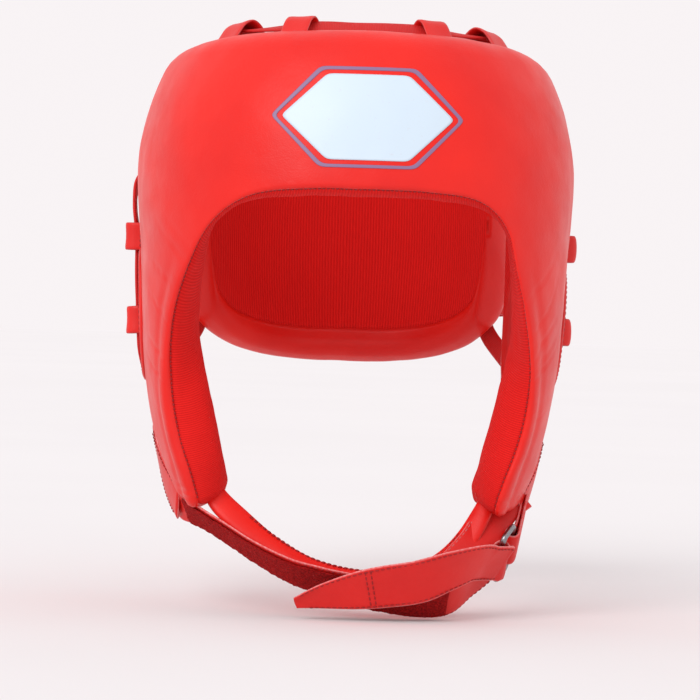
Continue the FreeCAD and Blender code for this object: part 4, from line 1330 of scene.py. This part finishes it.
def ring_centre_line(reach, along):
    """Rounded rectangle of the bent wire."""
    middle = RING_BAR + reach * 0.5 * RING_REACH
    path = []
    for index, (u, v) in enumerate(((1.0, 1.0), (-1.0, 1.0), (-1.0, -1.0), (1.0, -1.0))):
        for turn in np.radians(np.linspace(0.0, 90.0, 7)) + math.radians(90.0 * index):
            ahead = u * (0.5 * RING_REACH - RING_BEND) + RING_BEND * math.cos(turn)
            aside = v * (RING_HALF - RING_BEND) + RING_BEND * math.sin(turn)
            path.append(middle + reach * ahead + along * aside)
    return np.array(path)


def build_ring():
    """Bent-wire ring that joins the strap to the cheek."""
    reach, along, out = ring_frame()
    path = ring_centre_line(reach, along)
    ahead = unit(np.roll(path, -1, axis=0) - np.roll(path, 1, axis=0))
    side = np.cross(ahead, out)
    around = np.linspace(0.0, 2.0 * math.pi, 17)[:-1]
    rings = [path + (side * math.cos(t) + out * math.sin(t)) * RING_WIRE_RADIUS for t in around]
    faces = grid_quads(len(path), len(rings), wrap_rows=True, wrap_columns=True)
    piece = make_piece("ring_bent_wire", np.stack(rings, axis=1), faces, WIRE)
    face_outward(piece)
    dress(piece, CHIN_BODY, ("chin_ring",))


def build_hanger():
    """Leather loop from the cheek round the ring's upper bar, and the flap behind the ring."""
    reach, along, out = ring_frame()
    held = RING_BAR + reach * RING_REACH
    top = HINGE - reach * 4.2
    near = 0.85 * FOLD_OFFSET
    route = [HANGER_SEWN + out * 0.4, top + out * 1.1, held + reach + out * FOLD_OFFSET,
             held - reach * 1.6 + out * near, held - reach * FOLD_OFFSET, held - reach * 1.6 - out * near,
             held + reach - out * FOLD_OFFSET, top - out * 1.1, HANGER_SEWN - out * 1.6]
    loop = Strap(route, [along] * len(route), HANGER_WIDTH, step=0.6)
    piece = loop.mesh("ring_hanger", STRAP_THICK, STRAP, ripple=0.1, seed=1.0)
    hang(piece, "chin_ring_loop")
    flap = strap_from(FLAP_RUN, step=0.9)
    piece = flap.mesh("ring_backing", STRAP_THICK, STRAP, ripple=0.5, seed=3.0)
    hang(piece, "chin_ring_flap")
    outer = np.sign(-flap.out[20][1])
    edge_stitches("backing_stitches", flap, -0.84, outer * 0.72, CHIN_BODY, outer, 22, 4, PALE_THREAD)


# ---- assembly -------------------------------------------------------------------------------
def build_shells():
    """Front shell and rear pad with their ear rims, opening seam, foams and badge."""
    (cover, lining), seam_line, seam_out = build_front()
    foams = front_foams()
    outer_tree, inner_tree = surface_tree(cover), surface_tree(lining)
    for side in (-1.0, 1.0):
        build_ear_rim(side, outer_tree, inner_tree)
    for piece in (cover, lining, *foams[1:]):
        cut_ears(piece)
    dress(cover, FRONT_BODY, ("front_cover",))
    dress(lining, FRONT_BODY, ("front_lining",))
    for foam in foams:
        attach(foam, FRONT_BODY)
    sewn = slice(SEAM_BARE_ENDS, -SEAM_BARE_ENDS)
    seam = stitches("opening_stitches", seam_line[sewn] + seam_out[sewn] * 0.1, seam_out[sewn],
                    *SEAM_STITCH, THREAD)
    dress(seam, FRONT_BODY)
    rear_cover, rear_lining, rear_foam = build_rear()
    dress(rear_cover, REAR_BODY, ("rear_cover",))
    dress(rear_lining, REAR_BODY, ("rear_lining",))
    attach(rear_foam, REAR_BODY)
    build_badge(outer_tree)


build_shells()
build_crown_loops()
build_side_loops()
build_laces()
for anchor_side in (-1.0, 1.0):
    build_anchor(anchor_side)
build_strap()
build_sling()
build_tongue()
build_ring()
build_hanger()


# ---- stage, lights, camera ------------------------------------------------------------------
LOOK_AT = Vector((0.0, 0.0, -0.071))
CAMERA_YAW, CAMERA_ELEVATION, CAMERA_ROLL = -2.5, 1.0, 1.7
CAMERA_DISTANCE = 1.6
CAMERA_LENS = 174.4
FLOOR_Z, FLOOR_RADIUS = -191.8, 9000.0


def build_stage():
    """Large pale floor, white surroundings and one wide soft lamp."""
    n = Nodes("studio_floor")
    tone = n.mix(n.ramp(n.noise(3.0, 2.0), 0.3, 0.7), (0.800, 0.792, 0.795), (0.812, 0.804, 0.807))
    pale = n.finish(tone, 1.0, Specular_IOR_Level=0.0)
    ring = [(FLOOR_RADIUS * math.cos(a), FLOOR_RADIUS * math.sin(a), FLOOR_Z)
            for a in np.linspace(0.0, 2.0 * math.pi, 65)[:-1]]
    floor = make_piece("studio_floor", ring, [tuple(range(64))], pale, smooth=False)
    bpy.context.scene.view_settings.view_transform = "Standard"
    world = bpy.data.worlds.new("studio_white")
    bpy.context.scene.world = world
    world.use_nodes = True
    back = world.node_tree.nodes["Background"]
    back.inputs["Color"].default_value = (0.945, 0.900, 0.912, 1.0)
    back.inputs["Strength"].default_value = 1.0
    data = bpy.data.lights.new("softbox", "SUN")
    data.energy = 1.25
    data.angle = math.radians(35.0)
    lamp = bpy.data.objects.new("softbox", data)
    place = Vector((-0.55, -1.0, 0.75))
    lamp.location = place
    lamp.rotation_mode = "QUATERNION"
    lamp.rotation_quaternion = (-place).to_track_quat("-Z", "Y")
    bpy.context.scene.collection.objects.link(lamp)


def build_camera():
    """Long lens from just right of straight ahead, turned a little as in a hand-held product shot."""
    a, e, r = (math.radians(v) for v in (CAMERA_YAW, CAMERA_ELEVATION, CAMERA_ROLL))
    back = Vector((math.sin(a) * math.cos(e), -math.cos(a) * math.cos(e), math.sin(e)))
    data = bpy.data.cameras.new("camera")
    data.lens = CAMERA_LENS
    data.sensor_width = 36.0
    data.clip_start, data.clip_end = 0.1, 30.0
    camera = bpy.data.objects.new("camera", data)
    camera.location = LOOK_AT + back * CAMERA_DISTANCE
    camera.rotation_mode = "QUATERNION"
    level = (-back).to_track_quat("-Z", "Y")
    camera.rotation_quaternion = level @ Quaternion((0.0, 0.0, 1.0), r)
    bpy.context.scene.collection.objects.link(camera)
    bpy.context.scene.camera = camera


build_stage()
build_camera()
